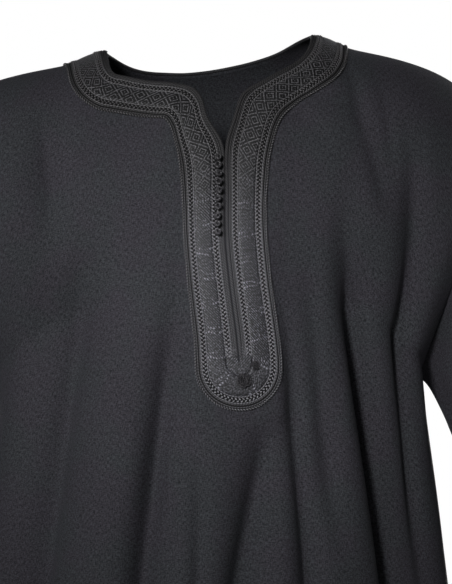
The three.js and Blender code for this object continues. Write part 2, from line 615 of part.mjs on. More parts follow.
// Heights of a band's points over the cloth, raised where the cloth bulges between neighbours
function bandLifts(places, closed, onBody) {
  const seats = places.map((row) => row.map(({ across, down }) => onBody(across, down, 0)));
  const lifts = places.map((row) => row.map(() => TRIM_LIFT));
  const raise = (k, i, m, j) => {
    for (const t of [0.25, 0.5, 0.75]) {
      const across = mix(places[k][i].across, places[m][j].across, t);
      const down = mix(places[k][i].down, places[m][j].down, t);
      const seat = onBody(across, down, 0);
      const straight = plus(times(seats[k][i].point, 1 - t), times(seats[m][j].point, t));
      const bulge = TRIM_LIFT + dot(minus(seat.point, straight), seat.normal);
      lifts[k][i] = Math.max(lifts[k][i], bulge);
      lifts[m][j] = Math.max(lifts[m][j], bulge);
    }
  };
  const count = places.length;
  const width = places[0].length;
  for (let k = 0; k < count; k++) {
    for (let i = 0; i < width; i++) {
      const next = (k + 1) % count;
      if (i + 1 < width) raise(k, i, k, i + 1);
      if (!closed && next === 0) continue;
      raise(k, i, next, i);
      if (i + 1 < width) raise(k, i, next, i + 1);
    }
  }
  return lifts;
}

function trimGeometry(band, onBody) {
  const stations = band.round ? [...trimStations(), ...roundEndStations()] : trimStations();
  const width = band.columns + 1;
  const places = stations.map((place) =>
    Array.from({ length: width }, (_, i) => place(mix(band.from, band.to, i / band.columns))));
  const lifts = bandLifts(places, band.round, onBody);
  const outer = new Map();
  const inner = new Map();
  places.forEach((row, k) => {
    row.forEach(({ across, down }, i) => {
      outer.set(k * width + i, onBody(across, down, lifts[k][i] + band.thick).point);
      inner.set(k * width + i, onBody(across, down, lifts[k][i]).point);
    });
  });
  const faces = [];
  const count = stations.length;
  for (let k = 0; k < (band.round ? count : count - 1); k++) {
    for (let i = 0; i < band.columns; i++) {
      const [a, b] = [k * width + i, ((k + 1) % count) * width + i];
      faces.push([a, b + 1, a + 1], [a, b, b + 1]);
    }
  }
  return closedGeometry(outer, inner, faces);
}

// A small piece made about its own axis, stood on the trim at a place
function standOn(geometry, onBody, across, down, lift) {
  const { point, normal } = onBody(across, down, lift);
  const right = unit(minus([1, 0, 0], times(normal, normal[0])));
  const up = cross(normal, right);
  const [r, u, n] = [right, up, normal].map((v) => new THREE.Vector3(...v));
  geometry.applyMatrix4(new THREE.Matrix4().makeBasis(r, u, n).setPosition(...point));
  return geometry;
}

// A turned shape about its own Z axis, from a profile of radius and height
function turned(profile, sides) {
  const points = profile.map(([radius, height]) => new THREE.Vector2(radius, height));
  return new THREE.LatheGeometry(points, sides).rotateX(Math.PI / 2);
}

function knotGeometry() {
  const { radius, height, stemRadius, stemHeight, sides } = KNOT;
  const stem = [[0, 0], [stemRadius, 0], [stemRadius, stemHeight]];
  const head = KNOT_HEAD.map((share) => [radius * share.radius, stemHeight + height * share.height]);
  return turned([...stem, ...head], sides);
}

// The loop of cord that goes round a knot's stem and crosses the slit to the other side
function loopGeometry() {
  const outline = (half) => {
    const shape = [];
    for (let k = 0; k <= LOOP.arcSteps; k++) {
      const turn = (90 + (180 * k) / LOOP.arcSteps) * DEGREE;
      shape.push(new THREE.Vector2(half * Math.cos(turn), half * Math.sin(turn)));
    }
    shape.push(new THREE.Vector2(LOOP.reach, -half), new THREE.Vector2(LOOP.reach, half));
    return shape;
  };
  const ring = new THREE.Shape(outline(LOOP.halfWidth + LOOP.thick / 2));
  ring.holes.push(new THREE.Path(outline(LOOP.halfWidth - LOOP.thick / 2).map((p) =>
    new THREE.Vector2(Math.min(p.x, LOOP.reach - LOOP.thick), p.y))));
  return new THREE.ExtrudeGeometry(ring, { depth: LOOP.thick, bevelEnabled: false });
}

function rosetteGeometry({ radius, thick, sides }) {
  const crown = radius * ROSETTE_CROWN.radius;
  return turned([[0, 0], [radius, 0], [radius, thick * ROSETTE_CROWN.rim], [crown, thick], [0, thick]], sides);
}

function buildRobe() {
  const robe = new THREE.Group();
  const pieces = {
    front_panel: frontFaces(),
    back_panel: backFaces(),
    sleeve_left: sleeveFaces(-1),
    sleeve_right: sleeveFaces(1),
  };
  const owners = new Map();
  for (const [name, faces] of Object.entries(pieces)) {
    for (const id of faces.flat()) owners.set(id, (owners.get(id) ?? new Set()).add(name));
  }
  const shared = new Set([...owners].filter(([, names]) => names.size > 1).map(([id]) => id));
  const normals = wallWays(pieces);
  for (const [name, faces] of Object.entries(pieces)) {
    robe.add(makeMesh(name, clothGeometry(faces, normals, shared), CLOTH_LOOK));
  }

  const onBody = facetFinder([...pieces.front_panel, ...pieces.back_panel], normals);
  for (const band of TRIM_BANDS) {
    const look = { color: band.color, roughness: TRIM_ROUGHNESS };
    robe.add(makeMesh(band.name, trimGeometry(band, onBody), look));
  }
  const trimTop = TRIM_LIFT + Math.max(...TRIM_BANDS.map((band) => band.thick)) + SEAM_GAP;
  for (let k = 0; k < BUTTONS.count; k++) {
    const t = k / (BUTTONS.count - 1);
    const across = mix(BUTTONS.firstAcross, BUTTONS.lastAcross, t);
    const down = mix(BUTTONS.firstDown, BUTTONS.lastDown, t);
    const number = String(k + 1).padStart(2, "0");
    const knot = standOn(knotGeometry(), onBody, across, down, trimTop);
    robe.add(makeMesh(`button_${number}`, knot, KNOT_LOOK));
    const loop = standOn(loopGeometry(), onBody, across, down, trimTop + LOOP.lift);
    robe.add(makeMesh(`loop_${number}`, loop, LOOP_LOOK));
  }
  for (const rosette of ROSETTES) {
    const geometry = standOn(rosetteGeometry(rosette), onBody, rosette.across, rosette.down, trimTop);
    robe.add(makeMesh(rosette.name, geometry, KNOT_LOOK));
  }
  return robe;
}

export default buildRobe();
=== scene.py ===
"""A charcoal collarless robe: cloth, braided trim, knot buttons and a plain studio stage."""
import json
import math
import random

import bmesh
import bpy
import numpy as np
from bpy.props import FloatProperty, FloatVectorProperty, IntProperty, PointerProperty
from mathutils import Matrix, Vector


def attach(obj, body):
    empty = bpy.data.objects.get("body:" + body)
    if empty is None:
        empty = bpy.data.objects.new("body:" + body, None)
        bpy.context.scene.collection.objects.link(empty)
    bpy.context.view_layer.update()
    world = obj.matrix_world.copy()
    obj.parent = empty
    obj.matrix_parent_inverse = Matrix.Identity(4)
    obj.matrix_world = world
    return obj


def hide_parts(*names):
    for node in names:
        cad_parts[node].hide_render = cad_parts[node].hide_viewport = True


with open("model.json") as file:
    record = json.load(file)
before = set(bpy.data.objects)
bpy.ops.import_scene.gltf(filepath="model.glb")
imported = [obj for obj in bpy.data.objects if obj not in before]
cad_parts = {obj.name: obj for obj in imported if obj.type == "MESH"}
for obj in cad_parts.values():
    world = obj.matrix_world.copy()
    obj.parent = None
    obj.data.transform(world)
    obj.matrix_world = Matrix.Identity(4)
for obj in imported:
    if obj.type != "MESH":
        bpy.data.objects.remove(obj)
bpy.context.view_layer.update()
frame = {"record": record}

bl_info = {
    "name": "Braided robe",
    "version": (1, 0, 0),
    "blender": (4, 5, 0),
    "location": "View3D > Sidebar > Robe",
    "description": "Dresses the robe's frame with cloth, trim and knots",
    "category": "Object",
}

SLOT_COLOR = {m["slot"]: tuple(m["base_color"]) for m in frame["record"]["materials"]}
MM = 0.001

# The cloth's form, in millimetres. A place on it is across, from the centre line towards +X, and down,
# from the shoulder line: down is positive on the front and negative on the back
HEM_DOWN = 1400.0
HEM_HEIGHT = -1340.0
HEM_HALF_WIDTH = 325.0
ARMHOLE_DOWN = 290.0
ARMHOLE = {
    "top_x": 262, "top_z": -125, "foot_x": 200, "foot_z": -318, "half_depth": 66, "lean": 1.2,
    "round": 1.6,
}
SLEEVE_REACH = {"top": 300, "under": 120, "cuff": 260}
SLEEVE_LEAVING = {"over_sideways": 0.12, "under_power": 1.5, "bulge": 0.25, "under_down": 0.25}
CUFF = {"x": 330, "y": -6, "z": -618, "half_width": 54, "half_depth": 66, "lean": math.radians(14)}
NECK_HALF_WIDTH = 98.0
NECK_BACK_DROP = 62.0
TRIM_BACK_DROP = 102.0
NECK_RISE = {"height": 9, "reach": 24, "fade": 80}
SHOULDER_TILT = {"height": 9.5, "reach": 70, "fade": 260}
FULLNESS = {"depth": 0.8, "height_at_top": 0.5, "height_below": 1.0}
SLIT = {"end": 250.0, "half_gap": 0.6}
PLACKET_END = {"across": 9.3, "down": 361.0, "radius": 39.8, "inner_down": 355.0}
TRIM_STIFFNESS = {"beside": 34, "beside_fade": 16, "below": 396, "below_fade": 30}
FOLD_SHAPE = {"begins_over": 130, "ends_over": 0.4, "hem_spread": 1.7, "edge_fade": 34}
SLEEVE_FOLD_SHAPE = {"begins_over": 0.4, "ends_over": 0.3}
EVEN_FROM = 420.0
SHOULDER_COLUMNS = 8

# Centre line of the front and back: down, forward, height
CENTRE_LINE = np.array([
    (-1400, -175, -1340),
    (-900, -146, -842),
    (-600, -122, -543),
    (-400, -108, -344),
    (-290, -103, -234),
    (-200, -97, -148),
    (-140, -86, -92),
    (-90, -68, -46),
    (-45, -40, -14),
    (0, 0, -6),
    (45, 41, -14),
    (90, 74, -41),
    (140, 95, -84),
    (200, 110, -141),
    (290, 122, -230),
    (400, 131, -340),
    (600, 147, -539),
    (900, 170, -838),
    (1400, 200, -1340),
], float)

# Large folds: three places on the trough (down and across), depth, width on each side, depth left at its end,
# and the depth of the narrow crease along the trough
FOLD_COLUMNS = ("d1", "a1", "d2", "a2", "d3", "a3", "depth", "left", "right", "end", "sharp")
SHARP = {"width": 0.4, "begins_after": 30, "begins_over": 170}
FRONT_FOLDS = [dict(zip(FOLD_COLUMNS, row)) for row in (
    (50, -152, 132, -162, 250, -150, 7, 20, 24, 0, 3),
    (190, -124, 372, -158, 1400, -262, 17, 34, 30, 1.6, 9),
    (265, -42, 432, -67, 1400, -142, 11, 17, 24, 2.2, 12),
    (370, -27, 553, -30, 900, -46, 4, 11, 11, 0, 4),
    (355, 52, 480, 23, 1400, -28, 11, 20, 24, 2.2, 14),
    (270, 50, 434, 65, 1400, 92, 6, 12, 12, 3.4, 8),
    (200, 75, 335, 83, 560, 108, 5, 22, 18, 0, 3),
    (190, 109, 424, 149, 1400, 262, 20, 17, 42, 1.4, 17),
    (60, 120, 126, 136, 220, 156, 6, 13, 17, 0, 3),
    (80, 172, 230, 190, 620, 222, 10, 22, 18, 0, 6),
)]
BACK_FOLDS = [dict(zip(FOLD_COLUMNS, row)) for row in (
    (60, -160, 160, -152, 330, -170, 8, 22, 24, 0, 4),
    (150, -110, 500, -160, 1400, -262, 15, 30, 26, 1.9, 8),
    (240, -52, 600, -70, 1400, -132, 10, 20, 26, 2.4, 8),
    (180, 8, 560, -4, 1400, -14, 9, 24, 20, 2.6, 6),
    (260, 62, 620, 84, 1400, 118, 10, 24, 22, 2.3, 8),
    (140, 118, 480, 158, 1400, 250, 16, 24, 32, 1.8, 9),
    (70, 166, 180, 158, 340, 176, 8, 20, 22, 0, 4),
)]
# Sleeve folds: share along the sleeve and turn in degrees at each end, depth, width in degrees
SLEEVE_FOLDS = [
    (0.1, 22, 1, 40, 9, 15),
    (0.2, 92, 1, 104, 12, 17),
    (0.12, 168, 0.8, 186, 7, 16),
    (0.2, 250, 1, 236, 11, 17),
    (0.1, 322, 0.9, 306, 8, 15),
]
# Small creases: across and down at both ends, depth and width
FRONT_CREASES = [
    (42, 273, 60, 270, 1.5, 2.6),
    (43, 322, 56, 306, 1.3, 3.0),
    (-44, 296, -60, 312, 0.9, 4.0),
    (60, 118, 96, 152, 1.6, 6.0),
    (70, 108, 132, 118, 1.3, 7.0),
    (-70, 132, -116, 148, 1.2, 7.0),
    (-48, 190, -64, 262, 0.9, 6.0),
    (-120, 300, -70, 420, 1.2, 9.0),
    (20, 412, 44, 470, 1.2, 7.0),
    (110, 330, 96, 470, 1.2, 8.0),
    (-180, 260, -206, 420, 1.8, 10.0),
    (196, 250, 226, 400, 1.8, 10.0),
    (-167, 98, -158, 184, 2.4, 4.5),
    (-151, 84, -147, 150, 1.8, 4.0),
    (122, 62, 133, 142, 2.2, 4.5),
    (152, 72, 162, 172, 2.0, 5.0),
]
BACK_CREASES = [
    (-60, 130, -118, 168, 1.6, 8.0),
    (66, 128, 120, 172, 1.6, 8.0),
    (-30, 150, 34, 146, 1.1, 6.0),
    (-188, 250, -210, 420, 1.8, 10.0),
    (186, 240, 212, 430, 1.8, 10.0),
    (40, 320, 24, 520, 1.3, 9.0),
    (-84, 300, -96, 500, 1.4, 9.0),
]
# Slow ripples that keep the cloth from looking ironed: wave lengths across and down, height, phase
RIPPLES = [
    (74, 520, 0.55, 0.4),
    (47, 390, 0.34, 2.1),
    (31, 250, 0.16, 4.4),
    (118, 300, 0.50, 5.2),
]

# Edges of the trim from the shoulder line down: inner across, inner down, outer across, outer down
TRIM_LEFT = np.array([
    (-98, 0, -139, 0),
    (-99.5, 42, -138, 58),
    (-98.5, 60, -131, 86),
    (-94, 69.5, -117, 104),
    (-84, 72.8, -102, 112.5),
    (-46, 85.5, -68, 122.8),
    (-28, 93, -54.5, 126),
    (-18.5, 107, -48.5, 136),
    (-14, 129, -45.5, 150),
    (-0.9, 161, -42, 175),
    (-2, 205, -40.2, 212),
    (-2.5, 242, -39.6, 242),
    (1, 285, -36.6, 285),
    (6.4, 330, -32, 330),
    (8.6, 352, -30.9, 350),
], float)
TRIM_RIGHT = np.array([
    (98, 0, 133, 0),
    (92, 34, 127, 40),
    (84, 57, 119, 71),
    (70, 72.5, 104, 95),
    (40, 93.5, 70, 119),
    (25, 102.4, 57, 131.5),
    (17, 111, 50, 144),
    (9.6, 132, 45, 159),
    (0.9, 161, 40.5, 180),
    (-0.4, 205, 37, 214),
    (-1, 242, 37, 244),
    (2.4, 285, 40.4, 285),
    (7.8, 330, 46.5, 330),
    (9.6, 352, 48.8, 351),
], float)
NECK_STOPS_LEFT = [0, 0.8, 2, 4, 5, 6, 7, 8, 9]
NECK_STOPS_RIGHT = [0, 0.7, 1.5, 2.5, 3.5, 5, 6, 7, 8]
NECK_STOPS_BACK = [180, 158, 130, 90, 50, 22, 0]

# Rings of cord in a knot: radius, height over the trim, lean and facing in degrees
KNOT_RINGS = [
    (2.35, 4.9, 8, 20),
    (2.2, 3.4, 62, 70),
    (2.1, 3.3, 66, 150),
    (1.9, 2.0, 12, 0),
]
BUTTONS = {"count": 10, "first_down": 171, "last_down": 240, "first_across": -6.6, "last_across": -9.6}
ROSETTES = [
    {"name": "rosette_large", "across": 12.6, "down": 373, "radius": 7.2, "turns": 3, "petals": 9},
    {"name": "rosette_small", "across": 23, "down": 359.5, "radius": 4.2, "turns": 2, "petals": 6},
]
STAND_LIFT = 2.2

# Strips and cords of the trim: shares of its width, and lifts off the cloth
GROUND = {"from": 0.02, "to": 0.985, "columns": 14, "lift": 0.62, "crown": 0.0, "underside": 0.1, "step": 5.0}
RIBBON = {"from": 0.3, "to": 0.708, "columns": 9, "lift": 1.25, "crown": 0.3, "underside": 0.2, "step": 2.0}
BINDING = {"half_width": 1.75, "half_height": 1.5, "out": 1.35, "sunk": 0.15, "sides": 10, "round": 10.8}
FINE_CORD = {"lift": 1.0, "radius": 0.55, "step": 1.6}
LINE_CORD = {"lift": 1.25, "radius": 0.5, "step": 2.0}
EDGE_CORD = {"lift": 1.0, "radius": 1.25, "step": 0.6}
FOOT = {"from": 0.015, "to": 0.293, "columns": 8, "lift": 0.95, "underside": 0.3, "stations": 56}
LOOP = {"half": 1.95, "reach": 10.5, "from": 1.2, "high": 0.8, "sunk": -1.5, "bend_lift": 0.9}
BRAID = {"half_width": 1.95, "lift": 1.1, "lean": math.radians(42), "stitch_height": 1.7}
SLEEVE_LENGTH = 480.0
WELD = 2e-6

# Threads: factor of their slot's colour, factors of the painted highlight on the plies over that, pitch of
# the plies, the shader's values, how dark the painted shade between the plies is, and the painted shade round
# the neck
SILK_SHEEN = (0.8, 0.8, 0.84)
# Tint of the painted shade on the threads round the neck
NECK_SHADE_TINT = (1.0, 0.985, 0.94)
PICK_PITCH = 0.0026
THREAD_COLUMNS = ("shade", "pale", "pitch", "roughness", "sheen", "specular", "contrast", "neck")
THREADS = {name: dict(zip(THREAD_COLUMNS, row)) for name, *row in (
    ("dark_cord", 1.3, (5.0, 5.15, 5.2), 0.0052, 0.5, 0.02, 0.4, 0.95, 0.5),
    ("pale_cord", 6.0, (2.3, 2.38, 2.4), 0.0056, 0.45, 0.02, 0.4, 0.9, 0.7),
    ("trim_ground", 0.3, (1.4, 1.4, 1.4), 0.0011, 0.8, 0.02, 0.5, 0.5, 0.36),
    ("neck_binding", 1.2, (3.6, 3.7, 3.75), 0.0052, 0.7, 0.02, 0.3, 0.95, 0.5),
    ("edge_cord_dark", 0.5, (1.5, 1.5, 1.5), 0.0014, 0.6, 0.05, 0.5, 0.5, 0.36),
    ("herringbone_thread", 11.0, (1.8, 1.84, 1.9), 0.0011, 0.34, 0.05, 0.5, 0.5, 0.38),
    ("knot_cord", 1.0, (8.0, 8.2, 8.8), 0.0022, 0.3, 0.05, 0.7, 0.7, 0.36),
    ("loop_cord", 1.0, (2.0, 2.0, 2.0), 0.0012, 0.5, 0.05, 0.5, 0.5, 0.36),
    ("rosette_cord", 1.0, (2.6, 2.6, 2.8), 0.0024, 0.35, 0.05, 0.7, 0.8, 0.36),
    ("rosette_leaf_cord", 1.0, (4.6, 4.6, 5.0), 0.0024, 0.4, 0.02, 0.5, 0.8, 0.36),
    ("sewing_thread", 0.8, (1.6, 1.6, 1.6), 0.0006, 0.6, 0.2, 0.5, 0.5, 0.36),
)}

# How finely the cloth's map is tabled, and how finely the pieces are divided
SECTION_STEP = 2.0
SECTION_SAMPLES = 96
LENGTH_SAMPLES = 128
COLUMNS_EACH = 5
FRONT_ROWS = np.concatenate([np.arange(0, 560, 5.0), np.linspace(560, HEM_DOWN, 85)])
BACK_ROWS = np.concatenate([np.arange(0, 320, 8.0), np.linspace(320, HEM_DOWN, 109)])
SLEEVE_ROUND = 120
SLEEVE_ALONG = 90
TRIM_STOP_STEP = 0.1


def mix(a, b, t):
    return a + (b - a) * t


def smooth(t):
    t = np.clip(t, 0, 1)
    return t * t * (3 - 2 * t)


def unit(v):
    return v / np.maximum(np.linalg.norm(v, axis=-1, keepdims=True), 1e-12)


def bell(off, width):
    return np.exp(-((off / width) ** 2))


def lengths_along(points):
    """Length of a path up to each of its points."""
    return np.concatenate([[0], np.cumsum(np.linalg.norm(np.diff(points, axis=0), axis=-1))])


def blend_weights(t):
    """Weights of a smooth curve's start, its way there, its end and its way there."""
    return 2 * t**3 - 3 * t**2 + 1, t**3 - 2 * t**2 + t, 3 * t**2 - 2 * t**3, t**3 - t**2


def curve_through(keys, values, at):
    """Smooth curve through a table's rows: the value where the key is at."""
    keys, values, at = np.asarray(keys, float), np.asarray(values, float), np.asarray(at, float)
    last = len(keys) - 1
    i = np.clip(np.searchsorted(keys, at, side="left") - 1, 0, last - 1)

    def slope(k):
        low, high = np.maximum(k - 1, 0), np.minimum(k + 1, last)
        return (values[high] - values[low]) / (keys[high] - keys[low])

    step = keys[i + 1] - keys[i]
    t = np.clip((at - keys[i]) / step, 0, 1)
    w = blend_weights(t)
    start = w[0] * values[i] + w[1] * step * slope(i)
    return start + w[2] * values[i + 1] + w[3] * step * slope(i + 1)


def body_edge(down):
    """The +X edge of the body at distances down: the armhole, then the side seam."""
    size = np.abs(down)
    t = np.clip(size / ARMHOLE_DOWN, 0, 1)
    s = np.clip((size - ARMHOLE_DOWN) / (HEM_DOWN - ARMHOLE_DOWN), 0, 1)
    at_armhole = size <= ARMHOLE_DOWN
    x = mix(ARMHOLE["top_x"], ARMHOLE["foot_x"], t ** ARMHOLE["lean"])
    y = -np.sign(down) * ARMHOLE["half_depth"] * np.sin(np.pi * t)
    z = mix(ARMHOLE["top_z"], ARMHOLE["foot_z"], t ** ARMHOLE["round"])
    return (
        np.where(at_armhole, x, mix(ARMHOLE["foot_x"], HEM_HALF_WIDTH, s)),
        np.where(at_armhole, y, 0.0),
        np.where(at_armhole, z, mix(ARMHOLE["foot_z"], HEM_HEIGHT, s)),
    )


def table_sections():
    """Half rows of the body at even distances down, each sampled evenly along its length."""
    downs = np.arange(-HEM_DOWN, HEM_DOWN + SECTION_STEP / 2, SECTION_STEP)[:, None]
    edge_x, edge_y, edge_z = body_edge(downs)
    centre_y = -curve_through(CENTRE_LINE[:, 0], CENTRE_LINE[:, 1], downs)
    centre_z = curve_through(CENTRE_LINE[:, 0], CENTRE_LINE[:, 2], downs)
    rise = NECK_RISE["height"] * bell(downs, NECK_RISE["fade"])
    full = mix(FULLNESS["height_at_top"], FULLNESS["height_below"], smooth(np.abs(downs) / ARMHOLE_DOWN))
    turn = np.linspace(0, np.pi / 2, SECTION_SAMPLES + 1)[None, :]
    cosine = np.clip(np.cos(turn), 0, 1)
    x = edge_x * np.sin(turn)
    y = mix(edge_y, centre_y, cosine ** FULLNESS["depth"])
    z = mix(edge_z, centre_z, cosine**full) + rise * bell(x - NECK_HALF_WIDTH, NECK_RISE["reach"])
    points = np.stack([x, y, z], axis=-1)
    steps = np.linalg.norm(np.diff(points, axis=1), axis=-1)
    lengths = np.concatenate([np.zeros((len(downs), 1)), np.cumsum(steps, axis=1)], axis=1)
    even = np.linspace(0, 1, LENGTH_SAMPLES + 1)
    grid = np.empty((len(downs), LENGTH_SAMPLES + 1, 3))
    for row, (row_points, row_lengths) in enumerate(zip(points, lengths)):
        for axis in range(3):
            grid[row, :, axis] = np.interp(even * row_lengths[-1], row_lengths, row_points[:, axis])
    return grid, lengths[:, -1]


SECTION_GRID, SECTION_LENGTHS = table_sections()


def section_row(down):
    row = np.clip((down + HEM_DOWN) / SECTION_STEP, 0, len(SECTION_LENGTHS) - 1.0001)
    first = row.astype(int)
    return first, row - first


def half_length(down):
    """Length of the cloth's row from the centre line to its edge."""
    first, part = section_row(np.asarray(down, float))
    return mix(SECTION_LENGTHS[first], SECTION_LENGTHS[first + 1], part)


def plain_points(across, down):
    """Points of the cloth before it is folded."""
    across, down = np.broadcast_arrays(np.asarray(across, float), np.asarray(down, float))
    first, part = section_row(down)
    total = 0
    for row, weight in ((first, 1 - part), (first + 1, part)):
        share = np.clip(np.abs(across) / SECTION_LENGTHS[row], 0, 1) * LENGTH_SAMPLES
        i = np.minimum(share.astype(int), LENGTH_SAMPLES - 1)
        t = (share - i)[..., None]
        total = total + weight[..., None] * mix(SECTION_GRID[row, i], SECTION_GRID[row, i + 1], t)
    x = np.where(across < 0, -1, 1) * total[..., 0]
    tilt = SHOULDER_TILT["height"] * np.tanh(x / SHOULDER_TILT["reach"])
    z = total[..., 2] + tilt * bell(down, SHOULDER_TILT["fade"])
    return np.stack([x, total[..., 1], z], axis=-1)


def normals_of(surface, across, down, step=2.0):
    """Outward ways of a surface over the cloth's places."""
    reach = half_length(down) - step
    a = np.clip(across, -reach, reach)
    d = np.clip(down, -HEM_DOWN + step, HEM_DOWN - step)
    across_way = surface(a + step, d) - surface(a - step, d)
    down_way = surface(a, d + step) - surface(a, d - step)
    return unit(np.cross(down_way, across_way))


def free_of_trim(across, down):
    """How stiff the trim keeps the cloth: 0 under it, 1 away from it."""
    along = np.clip((down - SLIT["end"]) / (PLACKET_END["down"] - SLIT["end"]), 0, 1)
    centre = PLACKET_END["across"] * along
    beside = smooth((np.abs(across - centre) - TRIM_STIFFNESS["beside"]) / TRIM_STIFFNESS["beside_fade"])
    below = smooth((down - TRIM_STIFFNESS["below"]) / TRIM_STIFFNESS["below_fade"])
    return np.where(down > 0, 1 - (1 - beside) * (1 - below), 1.0)


def fold_across(fold, size):
    t1, t2, t3 = fold["d1"], fold["d2"], fold["d3"]
    return (
        fold["a1"] * (size - t2) * (size - t3) / ((t1 - t2) * (t1 - t3))
        + fold["a2"] * (size - t1) * (size - t3) / ((t2 - t1) * (t2 - t3))
        + fold["a3"] * (size - t1) * (size - t2) / ((t3 - t1) * (t3 - t2))
    )


def folds_depth(folds, across, size):
    depth = np.zeros(np.shape(across))
    for fold in folds:
        along = np.clip((size - fold["d1"]) / (fold["d3"] - fold["d1"]), 0, 1)
        start = smooth((size - fold["d1"]) / FOLD_SHAPE["begins_over"])
        runs_out = fold["end"] == 0
        end = smooth((1 - along) / FOLD_SHAPE["ends_over"]) if runs_out else mix(1, fold["end"], along)
        widening = 1.0 if runs_out else mix(1, FOLD_SHAPE["hem_spread"], along)
        off = across - fold_across(fold, size)
        spread = np.where(off < 0, fold["left"], fold["right"]) * widening
        depth += fold["depth"] * start * end * bell(off, spread)
        later = smooth((size - fold["d1"] - SHARP["begins_after"]) / SHARP["begins_over"])
        depth += fold["sharp"] * later * np.minimum(end, 1) * bell(off, SHARP["width"] * spread)
    return depth


def creases_depth(creases, across, size):
    depth = np.zeros(np.shape(across))
    for a1, d1, a2, d2, deep, wide in creases:
        way = np.array([a2 - a1, d2 - d1], float)
        long = np.hypot(*way)
        along = ((across - a1) * way[0] + (size - d1) * way[1]) / long**2
        off = ((across - a1) * way[1] - (size - d1) * way[0]) / long
        taper = smooth((along + 0.2) / 0.5) * smooth((1.2 - along) / 0.5)
        depth += deep * taper * bell(off, wide)
    return depth


def ripple_depth(across, size):
    depth = np.zeros(np.shape(across))
    for wide, long, high, phase in RIPPLES:
        bend = 0.6 * np.sin(size / 190 + phase)
        depth += high * np.sin(2 * np.pi * (across / wide + size / long) + phase + bend)
    return depth


def cloth_depth(across, down):
    """How far the folds, creases and ripples sink the cloth."""
    size = np.abs(down)
    front = folds_depth(FRONT_FOLDS, across, size)
    back = folds_depth(BACK_FOLDS, across, size)
    front_fine = creases_depth(FRONT_CREASES, across, size)
    back_fine = creases_depth(BACK_CREASES, across, size)
    from_edge = smooth((half_length(down) - np.abs(across)) / FOLD_SHAPE["edge_fade"])
    from_top = smooth((size - 20) / 90)
    depth = np.where(down < 0, back + back_fine, front + front_fine)
    depth = depth + ripple_depth(across, size) * from_top
    return depth * from_edge * free_of_trim(across, down)


def cloth_points(across, down):
    across, down = np.broadcast_arrays(np.asarray(across, float), np.asarray(down, float))
    depth = cloth_depth(across, down)[..., None]
    return plain_points(across, down) - depth * normals_of(plain_points, across, down)


def on_cloth(across, down, lift):
    """Points that stand off the cloth by a lift."""
    return cloth_points(across, down) + np.asarray(lift)[..., None] * normals_of(cloth_points, across, down)


def trim_edge(table, stops, inner):
    first = 0 if inner else 2
    index = np.arange(len(table))
    return [curve_through(index, table[:, first + k], stops) for k in range(2)]


def column_tops(units):
    """Top place of a panel's columns, from its edge: the first SHOULDER_COLUMNS lie on the shoulder."""
    shoulder = half_length(0.0)
    return mix(shoulder, NECK_HALF_WIDTH, np.clip(units / SHOULDER_COLUMNS, 0, 1))


def panel_places(side, units, neck_across, neck_down, middle, rows, sign):
    """Places of half a panel's grid: side is -1 or 1, units run from the panel's edge to its middle."""
    on_neck = units > SHOULDER_COLUMNS
    top_down = np.where(on_neck, neck_down, 0.0)[None, :]
    row = rows[:, None]
    share = np.clip(row / EVEN_FROM, 0, 1)
    down = np.where(row < EVEN_FROM, mix(top_down, EVEN_FROM, share), row)
    length = half_length(sign * down)
    even = side * (1 - units / middle)[None, :] * length
    outward = np.clip(1 - units / SHOULDER_COLUMNS, 0, 1)[None, :]
    shoulder = side * column_tops(units)[None, :] * mix(1, length / half_length(0.0), outward)
    top = np.where(on_neck[None, :], neck_across[None, :], shoulder)
    return mix(top, even, smooth(share)), sign * down


def read_values(items, attribute, width=1, kind=np.float32):
    """An attribute of a mesh's items, one row for each item."""
    values = np.empty(len(items) * width, kind)
    items.foreach_get(attribute, values)
    return values.reshape(-1, width) if width > 1 else values


def write_values(items, attribute, values):
    items.foreach_set(attribute, values.astype(np.float32).ravel())


def corner_points(mesh):
    """The point that each corner of a mesh's faces lies on."""
    return read_values(mesh.loops, "vertex_index", kind=np.int32)


def new_mesh(bm, name):
    """Turns a bmesh into a new mesh."""
    mesh = bpy.data.meshes.new(name)
    bm.to_mesh(mesh)
    bm.free()
    return mesh


def grid_mesh(points, uvs, name):
    """A mesh from a flat grid whose points are moved to [row, column] places; uvs are in metres."""
    rows, columns = points.shape[0] - 1, points.shape[1] - 1
    bm = bmesh.new()
    bm.loops.layers.uv.new("UVMap")
    bmesh.ops.create_grid(bm, x_segments=columns, y_segments=rows, size=0.5)
    mesh = new_mesh(bm, name)
    flat = read_values(mesh.vertices, "co", 3)
    column = np.rint((flat[:, 0] + 0.5) * columns).astype(int)
    row = np.rint((flat[:, 1] + 0.5) * rows).astype(int)
    write_values(mesh.vertices, "co", points[row, column] * MM)
    corner = corner_points(mesh)
    write_values(mesh.uv_layers["UVMap"].data, "uv", uvs[row[corner], column[corner]])
    return mesh


def ring_mesh(rings, around, along, name, closed=False):
    """A tube through rings of points, its seam and its ends closed; around and along give its UV map."""
    rings = np.concatenate([rings, rings[:, :1]], axis=1)
    if closed:
        rings = np.concatenate([rings, rings[:1]], axis=0)
    uvs = np.stack(np.broadcast_arrays(around[None, :], along[:, None]), axis=-1)
    mesh = grid_mesh(rings, uvs, name)
    bm = bmesh.new()
    bm.from_mesh(mesh)
    bmesh.ops.remove_doubles(bm, verts=bm.verts, dist=WELD)
    bmesh.ops.holes_fill(bm, edges=[e for e in bm.edges if e.is_boundary], sides=0)
    bmesh.ops.recalc_face_normals(bm, faces=bm.faces)
    bm.to_mesh(mesh)
    bm.free()
    return mesh


